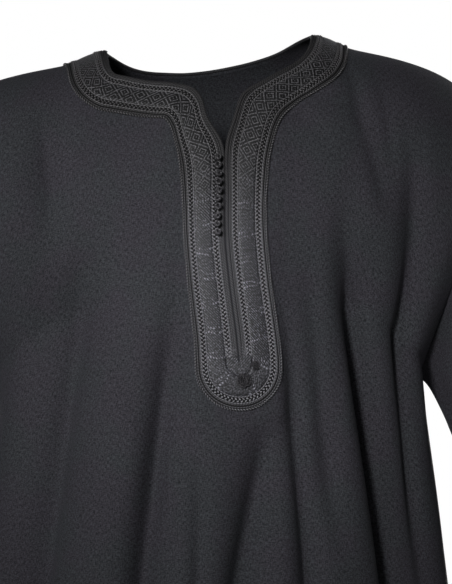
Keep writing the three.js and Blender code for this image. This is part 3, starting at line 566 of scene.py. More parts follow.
def welded(mesh, distance, nearness, outwards):
    """Welds a cloth mesh, and turns it so that the face of the least nearness looks outwards."""
    bm = bmesh.new()
    bm.from_mesh(mesh)
    bmesh.ops.remove_doubles(bm, verts=bm.verts, dist=distance)
    bmesh.ops.recalc_face_normals(bm, faces=bm.faces)
    if min(bm.faces, key=nearness).normal.dot(Vector(outwards)) < 0:
        bmesh.ops.reverse_faces(bm, faces=bm.faces)
    bm.to_mesh(mesh)
    bm.free()
    return mesh


def joined(meshes, name):
    bm = bmesh.new()
    for mesh in meshes:
        bm.from_mesh(mesh)
        bpy.data.meshes.remove(mesh)
    return new_mesh(bm, name)


def repeated(shape, origins, axes, name):
    """One mesh of many copies of a small one, each at its origin and turned to its three axes."""
    bm = bmesh.new()
    for origin, turn in zip(origins, axes):
        place = Matrix(turn.T.tolist()).to_4x4()
        place.translation = Vector(origin * MM)
        placed = shape.copy()
        placed.transform(place)
        bm.from_mesh(placed, face_normals=False, vertex_normals=False)
        bpy.data.meshes.remove(placed)
    bpy.data.meshes.remove(shape)
    return new_mesh(bm, name)


def stitch_shape(length, width, height, segments=8, rings=5):
    """A plump stitch of thread, long along X, flat where it lies."""
    bm = bmesh.new()
    bm.loops.layers.uv.new("UVMap")
    bmesh.ops.create_uvsphere(bm, u_segments=segments, v_segments=rings, radius=0.5, calc_uvs=True)
    bmesh.ops.rotate(bm, verts=bm.verts, cent=(0, 0, 0), matrix=Matrix.Rotation(math.radians(90), 3, "Y"))
    bmesh.ops.scale(bm, verts=bm.verts, vec=(length * MM, width * MM, height * MM))
    for vert in bm.verts:
        vert.co.z = max(vert.co.z, -0.2 * height * MM)
    return new_mesh(bm, "stitch_shape")


def add_piece(mesh, name, material, replaces=()):
    """A finished piece: shaded smooth, riding on the robe, standing for the nodes it replaces."""
    if isinstance(mesh, list):
        mesh = joined(mesh, name)
    mesh.name = name
    mesh.shade_smooth()
    piece = bpy.data.objects.new(name, mesh)
    bpy.context.scene.collection.objects.link(piece)
    mesh.materials.append(material)
    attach(piece, "root")
    if replaces:
        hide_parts(*replaces)
    return piece


# Trim

def trim_stations():
    """Inner and outer edge places of the trim: up the left side, round the neck, down, and round the end."""
    left = np.arange(len(TRIM_LEFT) - 1, 0, -TRIM_STOP_STEP)
    back = np.radians(np.arange(180, -0.1, -2.0))
    right = np.arange(TRIM_STOP_STEP, len(TRIM_RIGHT) - 1 + TRIM_STOP_STEP / 2, TRIM_STOP_STEP)
    end = np.radians(np.arange(0, 180.1, 4.0))
    outer_half = np.where(np.cos(back) < 0, -TRIM_LEFT[0, 2], TRIM_RIGHT[0, 2])
    stations = []
    for inner, half, drop, radius, end_down in (
        (True, NECK_HALF_WIDTH, NECK_BACK_DROP, 0, PLACKET_END["inner_down"]),
        (False, outer_half, TRIM_BACK_DROP, PLACKET_END["radius"], PLACKET_END["down"]),
    ):
        end_across = PLACKET_END["across"] + radius * np.cos(end)
        stations.append(np.concatenate([
            np.stack(trim_edge(TRIM_LEFT, left, inner), axis=-1),
            np.stack([half * np.cos(back), -drop * np.sin(back)], axis=-1),
            np.stack(trim_edge(TRIM_RIGHT, right, inner), axis=-1),
            np.stack([end_across, end_down + radius * np.sin(end)], axis=-1),
        ]))
    return stations[0], stations[1], len(left) + len(back) + len(right)


TRIM_INNER, TRIM_OUTER, TRIM_OPEN_COUNT = trim_stations()


def trim_places(q, share):
    """Across and down of stations q of the trim, at a share of its width from the inner edge."""
    q = np.mod(q, len(TRIM_INNER))
    index = np.arange(len(TRIM_INNER) + 1)
    edges = []
    for table in (TRIM_INNER, TRIM_OUTER):
        edges.append([np.interp(q, index, np.append(table[:, axis], table[0, axis])) for axis in range(2)])
    return [mix(inner, outer, share) for inner, outer in zip(*edges)]


def trim_steps(share, step, closed):
    """Stations at even lengths along a line of the trim, and those lengths."""
    count = len(TRIM_INNER) + 1 if closed else TRIM_OPEN_COUNT
    q = np.linspace(0, count - 1, 4 * count)
    lengths = lengths_along(on_cloth(*trim_places(q, share), np.zeros(len(q))))
    stops = max(8, int(round(lengths[-1] / step)))
    even = np.linspace(0, lengths[-1], stops + 1)
    return np.interp(even, lengths, q), even


def trim_frames(q, share, lift=0.0):
    """Points on a line of the trim, with the ways along it, towards its outer edge and off the cloth."""
    lift = np.broadcast_to(np.asarray(lift, float), np.shape(q))
    points = on_cloth(*trim_places(q, share), lift)
    outer = on_cloth(*trim_places(q, share + 0.02), lift)
    inner = on_cloth(*trim_places(q, share - 0.02), lift)
    off = normals_of(cloth_points, *trim_places(q, share))
    ahead = unit(on_cloth(*trim_places(q + 0.3, share), lift) - on_cloth(*trim_places(q - 0.3, share), lift))
    side = unit(np.cross(off, ahead))
    side = side * np.sign(np.sum(side * (outer - inner), axis=-1, keepdims=True))
    return points, ahead, side, off


def trim_rings(q, shares, tops, underside):
    """Rings of a strip of the trim: over its top, and back along its underside."""
    ring_shares = np.concatenate([shares, shares[::-1]])
    ring_lifts = np.concatenate([tops, np.full(len(shares), underside)])
    rings = [on_cloth(*trim_places(q, s), np.full(len(q), l)) for s, l in zip(ring_shares, ring_lifts)]
    return np.stack(rings, axis=1)


def strip_mesh(strip, name):
    """A flat strip round the trim and its foot, its top crowned."""
    shares = np.linspace(strip["from"], strip["to"], strip["columns"])
    q, along = trim_steps(float(np.mean(shares)), strip["step"], True)
    tops = strip["lift"] + strip["crown"] * np.sin(np.linspace(0, np.pi, len(shares)))
    rings = trim_rings(q[:-1], shares, tops, strip["underside"])
    middle = rings[len(rings) // 3]
    width = np.linalg.norm(middle[0] - middle[len(shares) - 1])
    over = (shares - shares[0]) / (shares[-1] - shares[0]) * width
    around = np.concatenate([over, over[::-1], over[:1]]) * MM
    return ring_mesh(rings, around, along * MM, name, True)


def foot_mesh():
    """The half round of ribbon at the foot of the slit, inside the ribbon's own turn."""
    q = np.linspace(TRIM_OPEN_COUNT - 6, len(TRIM_INNER) + 4, FOOT["stations"])
    shares = np.linspace(FOOT["from"], FOOT["to"], FOOT["columns"])
    rings = trim_rings(q, shares, np.full(len(shares), FOOT["lift"]), FOOT["underside"])
    mesh = ring_mesh(rings, np.zeros(rings.shape[1] + 1), np.zeros(len(q)), "ribbon_foot")
    co = read_values(mesh.vertices, "co", 3)
    write_values(mesh.uv_layers["UVMap"].data, "uv", co[corner_points(mesh)][:, (0, 2)])
    return mesh


def circles(side, off, sides):
    """A circle round each point of a path, from the two ways across it."""
    angles = np.linspace(0, 2 * np.pi, sides, endpoint=False)
    return np.cos(angles)[None, :, None] * side[:, None] + np.sin(angles)[None, :, None] * off[:, None]


def cord_mesh(share, cord, closed, name, sides=6, strands=1, pitch=1.0):
    """A cord along the trim, or the strands that are twisted into one."""
    radius = cord["radius"]
    q, along = trim_steps(share, cord["step"], closed)
    even = along
    if closed:
        q, even = q[:-1], even[:-1]
        pitch = along[-1] / round(along[-1] / pitch)
    points, _, side, off = trim_frames(q, share, cord["lift"])
    reach = 0 if strands == 1 else 0.5 * radius
    thick = radius if strands == 1 else 0.56 * radius
    around = np.linspace(0, 2 * np.pi * thick, sides + 1) * MM
    meshes = []
    for k in range(strands):
        turn = 2 * np.pi * (even / pitch + k / strands)
        centre = points + reach * (np.cos(turn)[:, None] * side + np.sin(turn)[:, None] * off)
        rings = centre[:, None] + thick * circles(side, off, sides)
        meshes.append(ring_mesh(rings, around, along * MM, name, closed))
    return meshes


def cords_at(shares, cord, closed, name):
    """Plain cords side by side along the trim."""
    return [mesh for share in shares for mesh in cord_mesh(share, cord, closed, name)]


def binding_mesh(name):
    """The rolled binding on the edge of the neck and the slit."""
    q, along = trim_steps(0.0, 2.0, False)
    points, _, side, off = trim_frames(q, 0.0, 0.0)
    centre = points + BINDING["out"] * side - BINDING["sunk"] * off
    ring = circles(BINDING["half_width"] * side, BINDING["half_height"] * off, BINDING["sides"])
    around = np.linspace(0, BINDING["round"], BINDING["sides"] + 1) * MM
    return ring_mesh(centre[:, None] + ring, around, along * MM, name)


def path_tube(points, radius, sides, name, closed=False):
    """A tube along free points, its rings kept from turning."""
    if closed:
        ahead = unit(np.roll(points, -1, axis=0) - np.roll(points, 1, axis=0))
    else:
        ahead = unit(np.gradient(points, axis=0))
    side = np.cross(ahead[0], [0.3, 0.5, 0.8])
    sides_way = []
    for way in ahead:
        side = side - way * np.dot(side, way)
        side = side / np.linalg.norm(side)
        sides_way.append(side)
    side = np.array(sides_way)
    ring = circles(side, np.cross(ahead, side), sides)
    along = lengths_along(points)
    if closed:
        along = np.append(along, along[-1] + np.linalg.norm(points[0] - points[-1]))
    around = np.linspace(0, 2 * np.pi * radius, sides + 1) * MM
    return ring_mesh(points[:, None] + radius * ring, around, along * MM, name, closed)


def herringbone_mesh(share, pitch, closed, name, rng):
    """Two rows of slanted stitches that meet in a row of Vs."""
    half_width, lean = BRAID["half_width"], BRAID["lean"]
    q, _ = trim_steps(share, pitch, closed)
    q = q[:-1]
    points, ahead, side, off = trim_frames(q, share, BRAID["lift"])
    origins, axes = [], []
    for hand in (-1, 1):
        angle = lean + np.array([rng.uniform(-0.12, 0.12) for _ in q])
        long = np.cos(angle)[:, None] * ahead + hand * np.sin(angle)[:, None] * side
        across = np.cross(off, long)
        centre = points + hand * 0.5 * half_width * side + 0.25 * off * (hand > 0)
        tilt = unit(long - 0.16 * off)
        origins.append(centre + (hand > 0) * 0.5 * pitch * ahead)
        axes.append(np.stack([tilt, across, unit(np.cross(tilt, across))], axis=1))
    shape = stitch_shape(0.8 * half_width / math.sin(lean), 0.36 * pitch, BRAID["stitch_height"])
    return repeated(shape, np.concatenate(origins), np.concatenate(axes), name)


# Materials

class Nodes:
    """Short ways to add nodes to a tree."""

    def __init__(self, tree):
        self.tree = tree

    def link(self, socket, target):
        self.tree.links.new(socket, target)

    def give(self, node, inputs):
        """Links a node's inputs to sockets, or sets them to values."""
        for key, value in dict(inputs).items():
            if isinstance(value, bpy.types.NodeSocket):
                self.link(value, node.inputs[key])
            else:
                node.inputs[key].default_value = value
        return node

    def node(self, kind, inputs=(), **settings):
        node = self.tree.nodes.new(kind)
        for key, value in settings.items():
            setattr(node, key, value)
        return self.give(node, inputs)

    def math(self, operation, a, b=0.0, c=0.0):
        return self.node("ShaderNodeMath", {0: a, 1: b, 2: c}, operation=operation).outputs[0]

    def times(self, a, b):
        return self.math("MULTIPLY", a, b)

    def wave(self, value, scale):
        return self.math("SINE", self.times(value, scale))

    def split(self, vector):
        return self.node("ShaderNodeSeparateXYZ", {0: vector}).outputs

    def noise(self, vector, scale, detail=2.0, roughness=0.5):
        settings = {"Vector": vector, "Scale": scale, "Detail": detail, "Roughness": roughness}
        return self.node("ShaderNodeTexNoise", settings).outputs["Fac"]

    def streaks(self, vector, across, along, roughness=0.6):
        """Noise drawn out by its own scale in each direction."""
        scaled = self.node("ShaderNodeMapping", {"Vector": vector, "Scale": (across, along, 1)}).outputs[0]
        return self.noise(scaled, 1.0, 2.0, roughness)

    def band(self, value, low, high, to_low=0.0, to_high=1.0):
        settings = {"Value": value, "From Min": low, "From Max": high, "To Min": to_low, "To Max": to_high}
        return self.node("ShaderNodeMapRange", settings, interpolation_type="SMOOTHSTEP").outputs[0]

    def blend(self, factor, a, b, blend_type="MIX"):
        node = self.node("ShaderNodeMix", data_type="RGBA", blend_type=blend_type)
        for socket, value in zip(("Factor_Float", "A_Color", "B_Color"), (factor, a, b)):
            target = next(s for s in node.inputs if s.identifier == socket)
            if isinstance(value, bpy.types.NodeSocket):
                self.link(value, target)
            else:
                target.default_value = value if isinstance(value, float) else (*value, 1.0)
        return next(s for s in node.outputs if s.identifier == "Result_Color")

    def tint(self, color, factors):
        return self.blend(1.0, color, factors, "MULTIPLY")


def new_group(name, inputs, outputs):
    """A shader node group with named sockets, and its input and output nodes."""
    group = bpy.data.node_groups.new(name, "ShaderNodeTree")
    for socket, kind, default in inputs:
        item = group.interface.new_socket(socket, in_out="INPUT", socket_type=f"NodeSocket{kind}")
        if default is not None:
            item.default_value = default
    for socket, kind in outputs:
        group.interface.new_socket(socket, in_out="OUTPUT", socket_type=f"NodeSocket{kind}")
    given = group.nodes.new("NodeGroupInput").outputs
    return group, Nodes(group), given, group.nodes.new("NodeGroupOutput").inputs


RELIEF = [("Height", "Float"), ("Tone", "Float")]


def weave_group():
    """Plain weave: the height of crossing threads, and the uneven tone of slubby warp and weft."""
    sockets = [("UV", "Vector", None), ("Pitch", "Float", 0.0005)]
    group, add, given, out = new_group("Plain weave", sockets, RELIEF)
    split = add.split(given["UV"])
    turns = [add.math("DIVIDE", add.times(split[axis], math.pi), given["Pitch"]) for axis in ("X", "Y")]
    add.link(add.times(add.math("SINE", turns[0]), add.math("SINE", turns[1])), out["Height"])
    warp = add.streaks(given["UV"], 1250, 300)
    weft = add.streaks(given["UV"], 360, 1200)
    add.link(add.times(add.math("ADD", warp, weft), 0.5), out["Tone"])
    return group


def twist_group():
    """Twisted thread: the height of plies that wind round it, and their tone: partly fibre fuzz, partly
    painted shade between the plies and a painted highlight on them.
    """
    sockets = [("UV", "Vector", None), ("Pitch", "Float", 0.0016)]
    group, add, given, out = new_group("Thread twist", sockets, RELIEF)
    split = add.split(given["UV"])
    slanted = add.math("ADD", split["X"], split["Y"])
    turn = add.math("DIVIDE", add.times(slanted, 2 * math.pi), given["Pitch"])
    wave = add.math("ABSOLUTE", add.math("SINE", turn))
    fuzz = add.streaks(given["UV"], 4000, 900)
    add.link(add.math("ADD", wave, add.times(fuzz, 0.3)), out["Height"])
    add.link(add.math("MULTIPLY_ADD", wave, 0.6, add.times(fuzz, 0.5)), out["Tone"])
    return group


def drift_group():
    """Slow changes of tone over a whole piece, and faint pale lint."""
    group, add, given, out = new_group(
        "Tone drift",
        [("Place", "Vector", None), ("Color", "Color", (0.04, 0.04, 0.045, 1)),
         ("Amount", "Float", 0.2), ("Lint", "Float", 0.15)],
        [("Color", "Color")],
    )
    slow = add.noise(given["Place"], 9.0, 3.0, 0.55)
    value = add.math("MULTIPLY_ADD", add.math("SUBTRACT", slow, 0.5), given["Amount"], 1.0)
    tinted = add.node("ShaderNodeVectorMath", {0: given["Color"], 3: value}, operation="SCALE").outputs[0]
    fine = add.noise(given["Place"], 900.0, 2.0, 0.7)
    lint = add.times(add.band(fine, 0.66, 0.8), given["Lint"])
    add.link(add.blend(lint, tinted, (0.12, 0.12, 0.125)), out["Color"])
    return group


GROUP_MAKERS = {"Plain weave": weave_group, "Thread twist": twist_group, "Tone drift": drift_group}


class Finish:
    """A material being made: its shader, its coordinates and the groups placed in it."""

    def __init__(self, name, roughness, sheen, sheen_color, specular=0.5, sheen_roughness=0.4):
        self.material = bpy.data.materials.new(name)
        self.material.use_nodes = True
        self.add = Nodes(self.material.node_tree)
        self.shader = self.add.give(self.add.tree.nodes["Principled BSDF"], {
            "Roughness": roughness, "Sheen Weight": sheen, "Sheen Roughness": sheen_roughness,
            "Sheen Tint": (*sheen_color, 1), "Specular IOR Level": specular,
        })
        coordinates = self.add.node("ShaderNodeTexCoord").outputs
        self.uv, self.place = coordinates["UV"], coordinates["Object"]
        self.height = self.add.split(self.place)["Z"]

    def group(self, name, inputs):
        tree = bpy.data.node_groups.get(name) or GROUP_MAKERS[name]()
        return self.add.node("ShaderNodeGroup", inputs, node_tree=tree).outputs

    def drift(self, color, amount, lint):
        """The finish's colour, drifting a little over the piece."""
        inputs = {"Place": self.place, "Color": (*color, 1), "Amount": amount, "Lint": lint}
        return self.group("Tone drift", inputs)["Color"]

    def color(self, socket):
        self.add.link(socket, self.shader.inputs["Base Color"])

    def on_neck(self):
        """1 round the neck, 0 down the slit."""
        return self.add.band(self.height, -0.2, -0.09)

    def neck_shaded(self, socket, share):
        """Painted shade: round the neck the threads are painted darker and a little browner than down the
        slit.
        """
        return self.add.blend(self.on_neck(), socket, self.add.tint(socket, times_color(NECK_SHADE_TINT, share)))

    def bump(self, height, distance, strength=1.0):
        node = self.add.node("ShaderNodeBump", {"Height": height, "Distance": distance, "Strength": strength})
        self.add.link(node.outputs[0], self.shader.inputs["Normal"])


def times_color(color, k):
    return tuple(c * k for c in color)


def cloth_material(cloth):
    finish = Finish("charcoal_cloth", 0.82, cloth.sheen, (0.75, 0.77, 0.85), 0.32, 0.5)
    add = finish.add
    weave = finish.group("Plain weave", {"UV": finish.uv, "Pitch": cloth.thread_pitch})
    drift = finish.drift(tuple(cloth.color), 0.22, 0.1)
    cast = add.band(add.noise(finish.place, 24.0, 2.0), 0.35, 0.65)
    tinted = add.tint(drift, add.blend(cast, (0.965, 1.02, 1.0), (1.035, 0.975, 1.03)))
    mottle = add.noise(finish.place, 1200.0, 2.0, 0.7)
    tone = add.band(add.math("MULTIPLY_ADD", mottle, 0.2, add.times(weave["Tone"], 0.8)), 0.38, 0.62)
    finish.color(add.blend(tone, add.tint(tinted, (0.32, 0.32, 0.33)), add.tint(tinted, (2.05, 2.05, 2.05))))
    finish.bump(add.math("ADD", add.times(weave["Height"], 0.5), weave["Tone"]), 0.00022, 0.7)
    return finish.material


def thread_material(name, color):
    """A cord, braid or knot of twisted thread: painted shade between its plies and a painted highlight on
    them.
    """
    thread = THREADS[name]
    finish = Finish(name, thread["roughness"], thread["sheen"], SILK_SHEEN, thread["specular"])
    add = finish.add
    twist = finish.group("Thread twist", {"UV": finish.uv, "Pitch": thread["pitch"]})
    drift = finish.drift(times_color(color, thread["shade"]), 0.3, 0.08)
    # light is the painted highlight on the plies, deep the painted shade between them
    light = add.tint(drift, thread["pale"])
    deep = add.tint(drift, (1 - thread["contrast"],) * 3)
    finish.color(finish.neck_shaded(add.blend(add.band(twist["Tone"], 0.2, 0.9), deep, light), thread["neck"]))
    finish.bump(twist["Height"], 0.00018, 0.8)
    return finish.material


def ribbon_material(trim):
    """The patterned ribbon: slanted silky ribs, with nested diamonds on the neck and rows of picks below."""
    finish = Finish("patterned_ribbon", 0.5, 0.25, SILK_SHEEN, 0.5)
    add, height, on_neck = finish.add, finish.height, finish.on_neck()
    u, v = finish.add.split(finish.uv)[:2]
    drift = finish.drift(tuple(trim.ribbon_color), 0.5, 0.05)
    speckle = add.streaks(finish.uv, 760, 560, 0.7)
    ribs = add.wave(add.math("MULTIPLY_ADD", u, -1.1, v), 2 * math.pi / trim.rib_pitch)
    half = trim.diamond_pitch * 0.5

    def folded(value, share):
        return add.math("PINGPONG", value, half * share)

    def within(value, low, high):
        return add.band(value, half * low, half * high)

    across = folded(add.math("ADD", u, 0.0006), 1)
    lattice = folded(add.math("ADD", across, folded(v, 1)), 0.25)
    lines = add.times(within(lattice, 0.12, 0.04), on_neck)
    rows = folded(add.math("MULTIPLY_ADD", across, 0.3, v), 0.3)
    pick_rows = add.times(within(rows, 0.12, 0.05), within(folded(v, 1.6), 0.7, 0.4))
    picks = add.band(add.wave(u, 2 * math.pi / PICK_PITCH), 0.0, 0.5)
    scattered = add.band(add.noise(finish.uv, 130.0, 1.0), 0.42, 0.55)
    below = add.math("SUBTRACT", 1.0, on_neck)
    dashes = add.times(add.times(add.times(pick_rows, picks), scattered), below)
    grain = add.band(speckle, 0.43, 0.63, 0.06, 1.0)
    rib_share = add.band(height, -0.305, -0.29, 0.35, 1.0)
    ribbed = add.math("MULTIPLY_ADD", add.math("SUBTRACT", add.band(ribs, -0.25, 0.8), 0.5), rib_share, 0.5)
    rib_tone = add.times(ribbed, add.times(grain, add.band(height, -0.325, -0.295, 0.62, 1.0)))
    deep, pale = add.tint(drift, (0.12, 0.12, 0.13)), add.tint(drift, (7.2, 7.3, 7.6))
    # Round the neck the ribbon's ground is painted far darker: painted shade
    ground = finish.neck_shaded(add.blend(rib_tone, deep, pale), 0.06)
    line_share = add.times(lines, add.band(speckle, 0.36, 0.58, 0.05, 1.0))
    lined = add.blend(line_share, ground, add.tint(drift, (4.1, 4.1, 4.0)))
    finish.color(add.blend(dashes, lined, add.tint(drift, (9.0, 9.0, 9.6))))
    raised = add.math("ADD", add.times(rib_tone, 0.8), add.times(add.math("ADD", lines, dashes), 0.8))
    finish.bump(raised, 0.0003, 0.8)
    return finish.material


def floor_material(color, glow):
    """A pale studio floor that looks lit from all round."""
    finish = Finish("pale_floor", 0.7, 0.0, (1, 1, 1), 0.3)
    add = finish.add
    finish.color(finish.drift(color, 0.04, 0.0))
    seen = add.node("ShaderNodeLightPath").outputs["Is Camera Ray"]
    away = add.node("ShaderNodeVectorMath", {0: finish.place}, operation="LENGTH").outputs["Value"]
    strength = add.times(seen, add.band(away, 1.6, 4.6, glow, 1.0))
    add.give(finish.shader, {"Emission Color": (1, 1, 1, 1), "Emission Strength": strength})
    return finish.material


# Settings

def length_setting(name, description, default, **limits):
    return FloatProperty(name=name, description=description, default=default, unit="LENGTH", **limits)


def power_setting(name, description, default):
    return FloatProperty(name=name, description=description, default=default, unit="POWER")


def color_setting(name, description, slot):
    return FloatVectorProperty(
        name=name, description=description, subtype="COLOR", size=3, default=SLOT_COLOR[slot])


class RobeClothSettings(bpy.types.PropertyGroup):
    """The robe's cloth"""
    thickness: length_setting("Thickness", "Thickness of the cloth", 0.0012, min=0.0004, max=0.0016)
    hem_fold: length_setting("Hem fold", "How far the hem is turned up", 0.022, min=0.005)
    stitch: length_setting("Stitch", "Distance between hem stitches", 0.0035, min=0.002)
    thread_pitch: length_setting("Thread pitch", "Distance between threads of the weave", 0.0006)
    sheen: FloatProperty(
        name="Sheen", description="Soft light on the cloth's nap", default=0.05, min=0, max=1)
    color: color_setting("Colour", "Colour of the cloth", "cloth")


class RobeTrimSettings(bpy.types.PropertyGroup):
    """The braided trim round the neck and the slit"""
    braid_pitch: length_setting("Braid pitch", "Length of one V of the braids", 0.0036, min=0.002)
    cord_twist: length_setting("Cord twist", "Length of one turn of the outer cord", 0.0026)
    rib_pitch: length_setting("Rib pitch", "Distance between the ribbon's slanted ribs", 0.0027)
    diamond_pitch: length_setting("Diamond pitch", "Length of one diamond of the ribbon", 0.0148)
    cord_color: color_setting("Cord colour", "Colour of the fine cords", "cord")
    braid_color: color_setting("Braid colour", "Colour of the braids", "braid")
    ribbon_color: color_setting("Ribbon colour", "Colour of the patterned ribbon", "band")


class RobeKnotSettings(bpy.types.PropertyGroup):
    """The knot buttons, their loops and the coiled rosettes"""
    cord: length_setting("Knot cord", "Thickness of the cord in the knots", 0.0017, min=0.001)
    loop_cord: length_setting("Loop cord", "Thickness of the loops' cord", 0.0009, min=0.0006)
    seed: IntProperty(name="Seed", description="Turns the knots differently", default=7)
    color: color_setting("Colour", "Colour of the knots", "knot")


class RobeStageSettings(bpy.types.PropertyGroup):
    """Floor, light and camera"""
    floor_drop: length_setting("Floor drop", "Gap from the hem to the floor", 0.05, min=0.0)
    azimuth: FloatProperty(
        name="Azimuth", description="Turn of the camera round the robe", default=math.radians(-8.5),
        subtype="ANGLE")
    distance: length_setting("Distance", "From the camera to the chest", 2.6)
    view_height: length_setting("View height", "What the picture's height spans at the chest", 0.5256)
    key_power: power_setting("Key light", "Power of the front left light", 12.5)
    accent_power: power_setting("Accent light", "Power of the beam on the chest", 280.0)
    skirt_power: power_setting("Skirt light", "Power of the beam on the lower half", 230.0)
    side_power: power_setting("Side light", "Power of the side light", 34.0)
    back_power: power_setting("Back lights", "Power of each light behind the robe", 45.0)
    ambient: FloatProperty(
        name="Ambient", description="Strength of the light all round", default=0.025, min=0)


# Operators

def dress_cloth(mesh, name, node, cloth):
    """Finishes a cloth piece: its thickness goes inwards, and is double where the hem is turned up."""
    material = bpy.data.materials.get("charcoal_cloth") or cloth_material(cloth)
    piece = add_piece(mesh, name, material, (node,))
    hem = piece.vertex_groups.new(name="hem")
    values = read_values(mesh.attributes["hem_fold"].data, "value")
    for index in np.nonzero(values > 0)[0]:
        hem.add([int(index)], float(values[index]), "REPLACE")
    wall = piece.modifiers.new("Wall", "SOLIDIFY")
    wall.thickness = 2 * cloth.thickness
    wall.offset = -1
    wall.vertex_group = "hem"
    wall.thickness_vertex_group = 0.5
    return piece


def mark_hem(mesh, distances, fold):
    """Marks the points of a cloth mesh that lie within the hem's fold, from their distances to the edge."""
    attribute = mesh.attributes.new("hem_fold", "FLOAT", "POINT")
    write_values(attribute.data, "value", smooth((fold - distances) / (0.15 * fold)))


def panel_mesh(halves, sign, name):
    """A body panel from its two halves' places, welded along the centre line where they meet."""
    meshes = []
    for across, down in halves:
        meshes.append(grid_mesh(cloth_points(across, down), np.stack([across, down], axis=-1) * MM, name))
    middle = Vector(cloth_points(40.0, sign * 500.0) * MM)
    mesh = joined(meshes, name)
    return welded(mesh, WELD, lambda face: (face.calc_center_median() - middle).length, (0, -sign, 0))


def front_halves():
    middle = SHOULDER_COLUMNS + len(NECK_STOPS_LEFT) - 1
    units = np.linspace(0, middle, middle * COLUMNS_EACH + 1)
    halves = []
    for side, table, stops in ((-1, TRIM_LEFT, NECK_STOPS_LEFT), (1, TRIM_RIGHT, NECK_STOPS_RIGHT)):
        stop = np.interp(units - SHOULDER_COLUMNS, np.arange(len(stops)), stops)
        neck_across, neck_down = trim_edge(table, stop, True)
        neck_across[-1] = 0.0
        across, down = panel_places(side, units, neck_across, neck_down, middle, FRONT_ROWS, 1)
        open_slit = down[:, -1] < SLIT["end"]
        across[open_slit, -1] += side * SLIT["half_gap"]
        halves.append((across, down))
    return halves


def back_halves():
    middle = SHOULDER_COLUMNS + (len(NECK_STOPS_BACK) - 1) / 2
    units = np.linspace(0, middle, int(middle * COLUMNS_EACH) + 1)
    halves = []
    for side in (-1, 1):
        stops = NECK_STOPS_BACK if side < 0 else NECK_STOPS_BACK[::-1]
        turn = np.radians(np.interp(units - SHOULDER_COLUMNS, np.arange(len(stops)), stops))
        neck_across, neck_down = NECK_HALF_WIDTH * np.cos(turn), NECK_BACK_DROP * np.sin(turn)
        halves.append(panel_places(side, units, neck_across, neck_down, middle, BACK_ROWS, -1))
    return halves


class ROBE_OT_front(bpy.types.Operator):
    """Makes the front panel with its notched neckline and slit"""
    bl_idname = "robe.front"
    bl_label = "Front panel"

    def execute(self, context):
        mesh = panel_mesh(front_halves(), 1, "front_cloth")
        finish_panel(mesh, "front_cloth", "front_panel", context.scene.robe_cloth)
        return {"FINISHED"}


class ROBE_OT_back(bpy.types.Operator):
    """Makes the back panel"""
    bl_idname = "robe.back"
    bl_label = "Back panel"

    def execute(self, context):
        mesh = panel_mesh(back_halves(), -1, "back_cloth")
        finish_panel(mesh, "back_cloth", "back_panel", context.scene.robe_cloth)
        return {"FINISHED"}


def finish_panel(mesh, name, node, cloth):
    uv = read_values(mesh.uv_layers["UVMap"].data, "uv", 2)
    down = np.zeros(len(mesh.vertices))
    down[corner_points(mesh)] = np.abs(uv[:, 1])
    mark_hem(mesh, HEM_DOWN * MM - down, cloth.hem_fold)
    piece = dress_cloth(mesh, name, node, cloth)


def cuff_axis(side):
    return np.array([side * math.sin(CUFF["lean"]), 0, -math.cos(CUFF["lean"])])


def cuff_centre(side):
    return np.array([side * CUFF["x"], CUFF["y"], CUFF["z"]])


def sleeve_depth(turn, under, t):
    """How far the sleeve's folds sink, from the turn round it and the share of the way to the cuff."""
    depth = np.zeros(np.shape(t))
    for start, turn1, stop, turn2, deep, wide in SLEEVE_FOLDS:
        along = np.clip((t - start) / (stop - start), 0, 1)
        fade = smooth((1 - along) / SLEEVE_FOLD_SHAPE["ends_over"]) if stop < 1 else 1.0
        grown = smooth(along / SLEEVE_FOLD_SHAPE["begins_over"]) * fade
        depth += deep * grown * bell(np.degrees(turn) - mix(turn1, turn2, along), wide)
    elbow = bell(t - 0.52, 0.16) * smooth(under * 1.6)
    depth += elbow * 1.6 * np.sin(t * 62 + np.sin(turn * 2) * 1.4) * smooth(t / 0.2)
    return depth + 0.5 * np.sin(turn * 5 + t * 7) * smooth(t / 0.25)


def sleeve_points(side, down, t):
    """Points of a sleeve: down is its place on the armhole, t the share of the way to the cuff."""
    down, t = np.broadcast_arrays(np.asarray(down, float), np.asarray(t, float))
    across_way = np.array([side * math.cos(CUFF["lean"]), 0, math.sin(CUFF["lean"])])
    starts = plain_points(side * half_length(down), down)
    turn = np.where(down < 0, 2 * np.pi, 0.0) + np.pi * down / ARMHOLE_DOWN
    under = (1 - np.cos(turn)) / 2
    sideways = across_way * (CUFF["half_width"] * np.cos(turn))[..., None]
    outwards = sideways + np.array([0, -1, 0]) * (CUFF["half_depth"] * np.sin(turn))[..., None]
    spread = side * mix(SLEEVE_LEAVING["over_sideways"], 1, under ** SLEEVE_LEAVING["under_power"])
    fall = mix(-1, -SLEEVE_LEAVING["under_down"], under**2)
    leaving = unit(np.stack([spread, -SLEEVE_LEAVING["bulge"] * np.sin(turn), fall], axis=-1))
    leaving = leaving * mix(SLEEVE_REACH["top"], SLEEVE_REACH["under"], under)[..., None]
    w = [weight[..., None] for weight in blend_weights(t)]
    plain = starts * w[0] + leaving * w[1] + (cuff_centre(side) + outwards) * w[2]
    plain = plain + cuff_axis(side) * (SLEEVE_REACH["cuff"] * w[3])
    return plain - unit(outwards) * sleeve_depth(turn, under, t)[..., None]


def sleeve_mesh(side, name):
    front = np.linspace(0, ARMHOLE_DOWN, SLEEVE_ROUND // 2 + 1)
    downs = np.concatenate([front, -front[::-1][1:-1], [-1e-6]])
    points = sleeve_points(side, downs[None, :], np.linspace(0, 1, SLEEVE_ALONG + 1)[:, None])
    around = lengths_along(points[SLEEVE_ALONG // 2])
    along = lengths_along(points[:, 0])
    uvs = np.stack(np.broadcast_arrays(around[None, :], along[:, None]), axis=-1) * MM
    return welded(grid_mesh(points, uvs, name), 10 * WELD, lambda face: -side * face.calc_center_median().x,
                  (side, 0, 0))


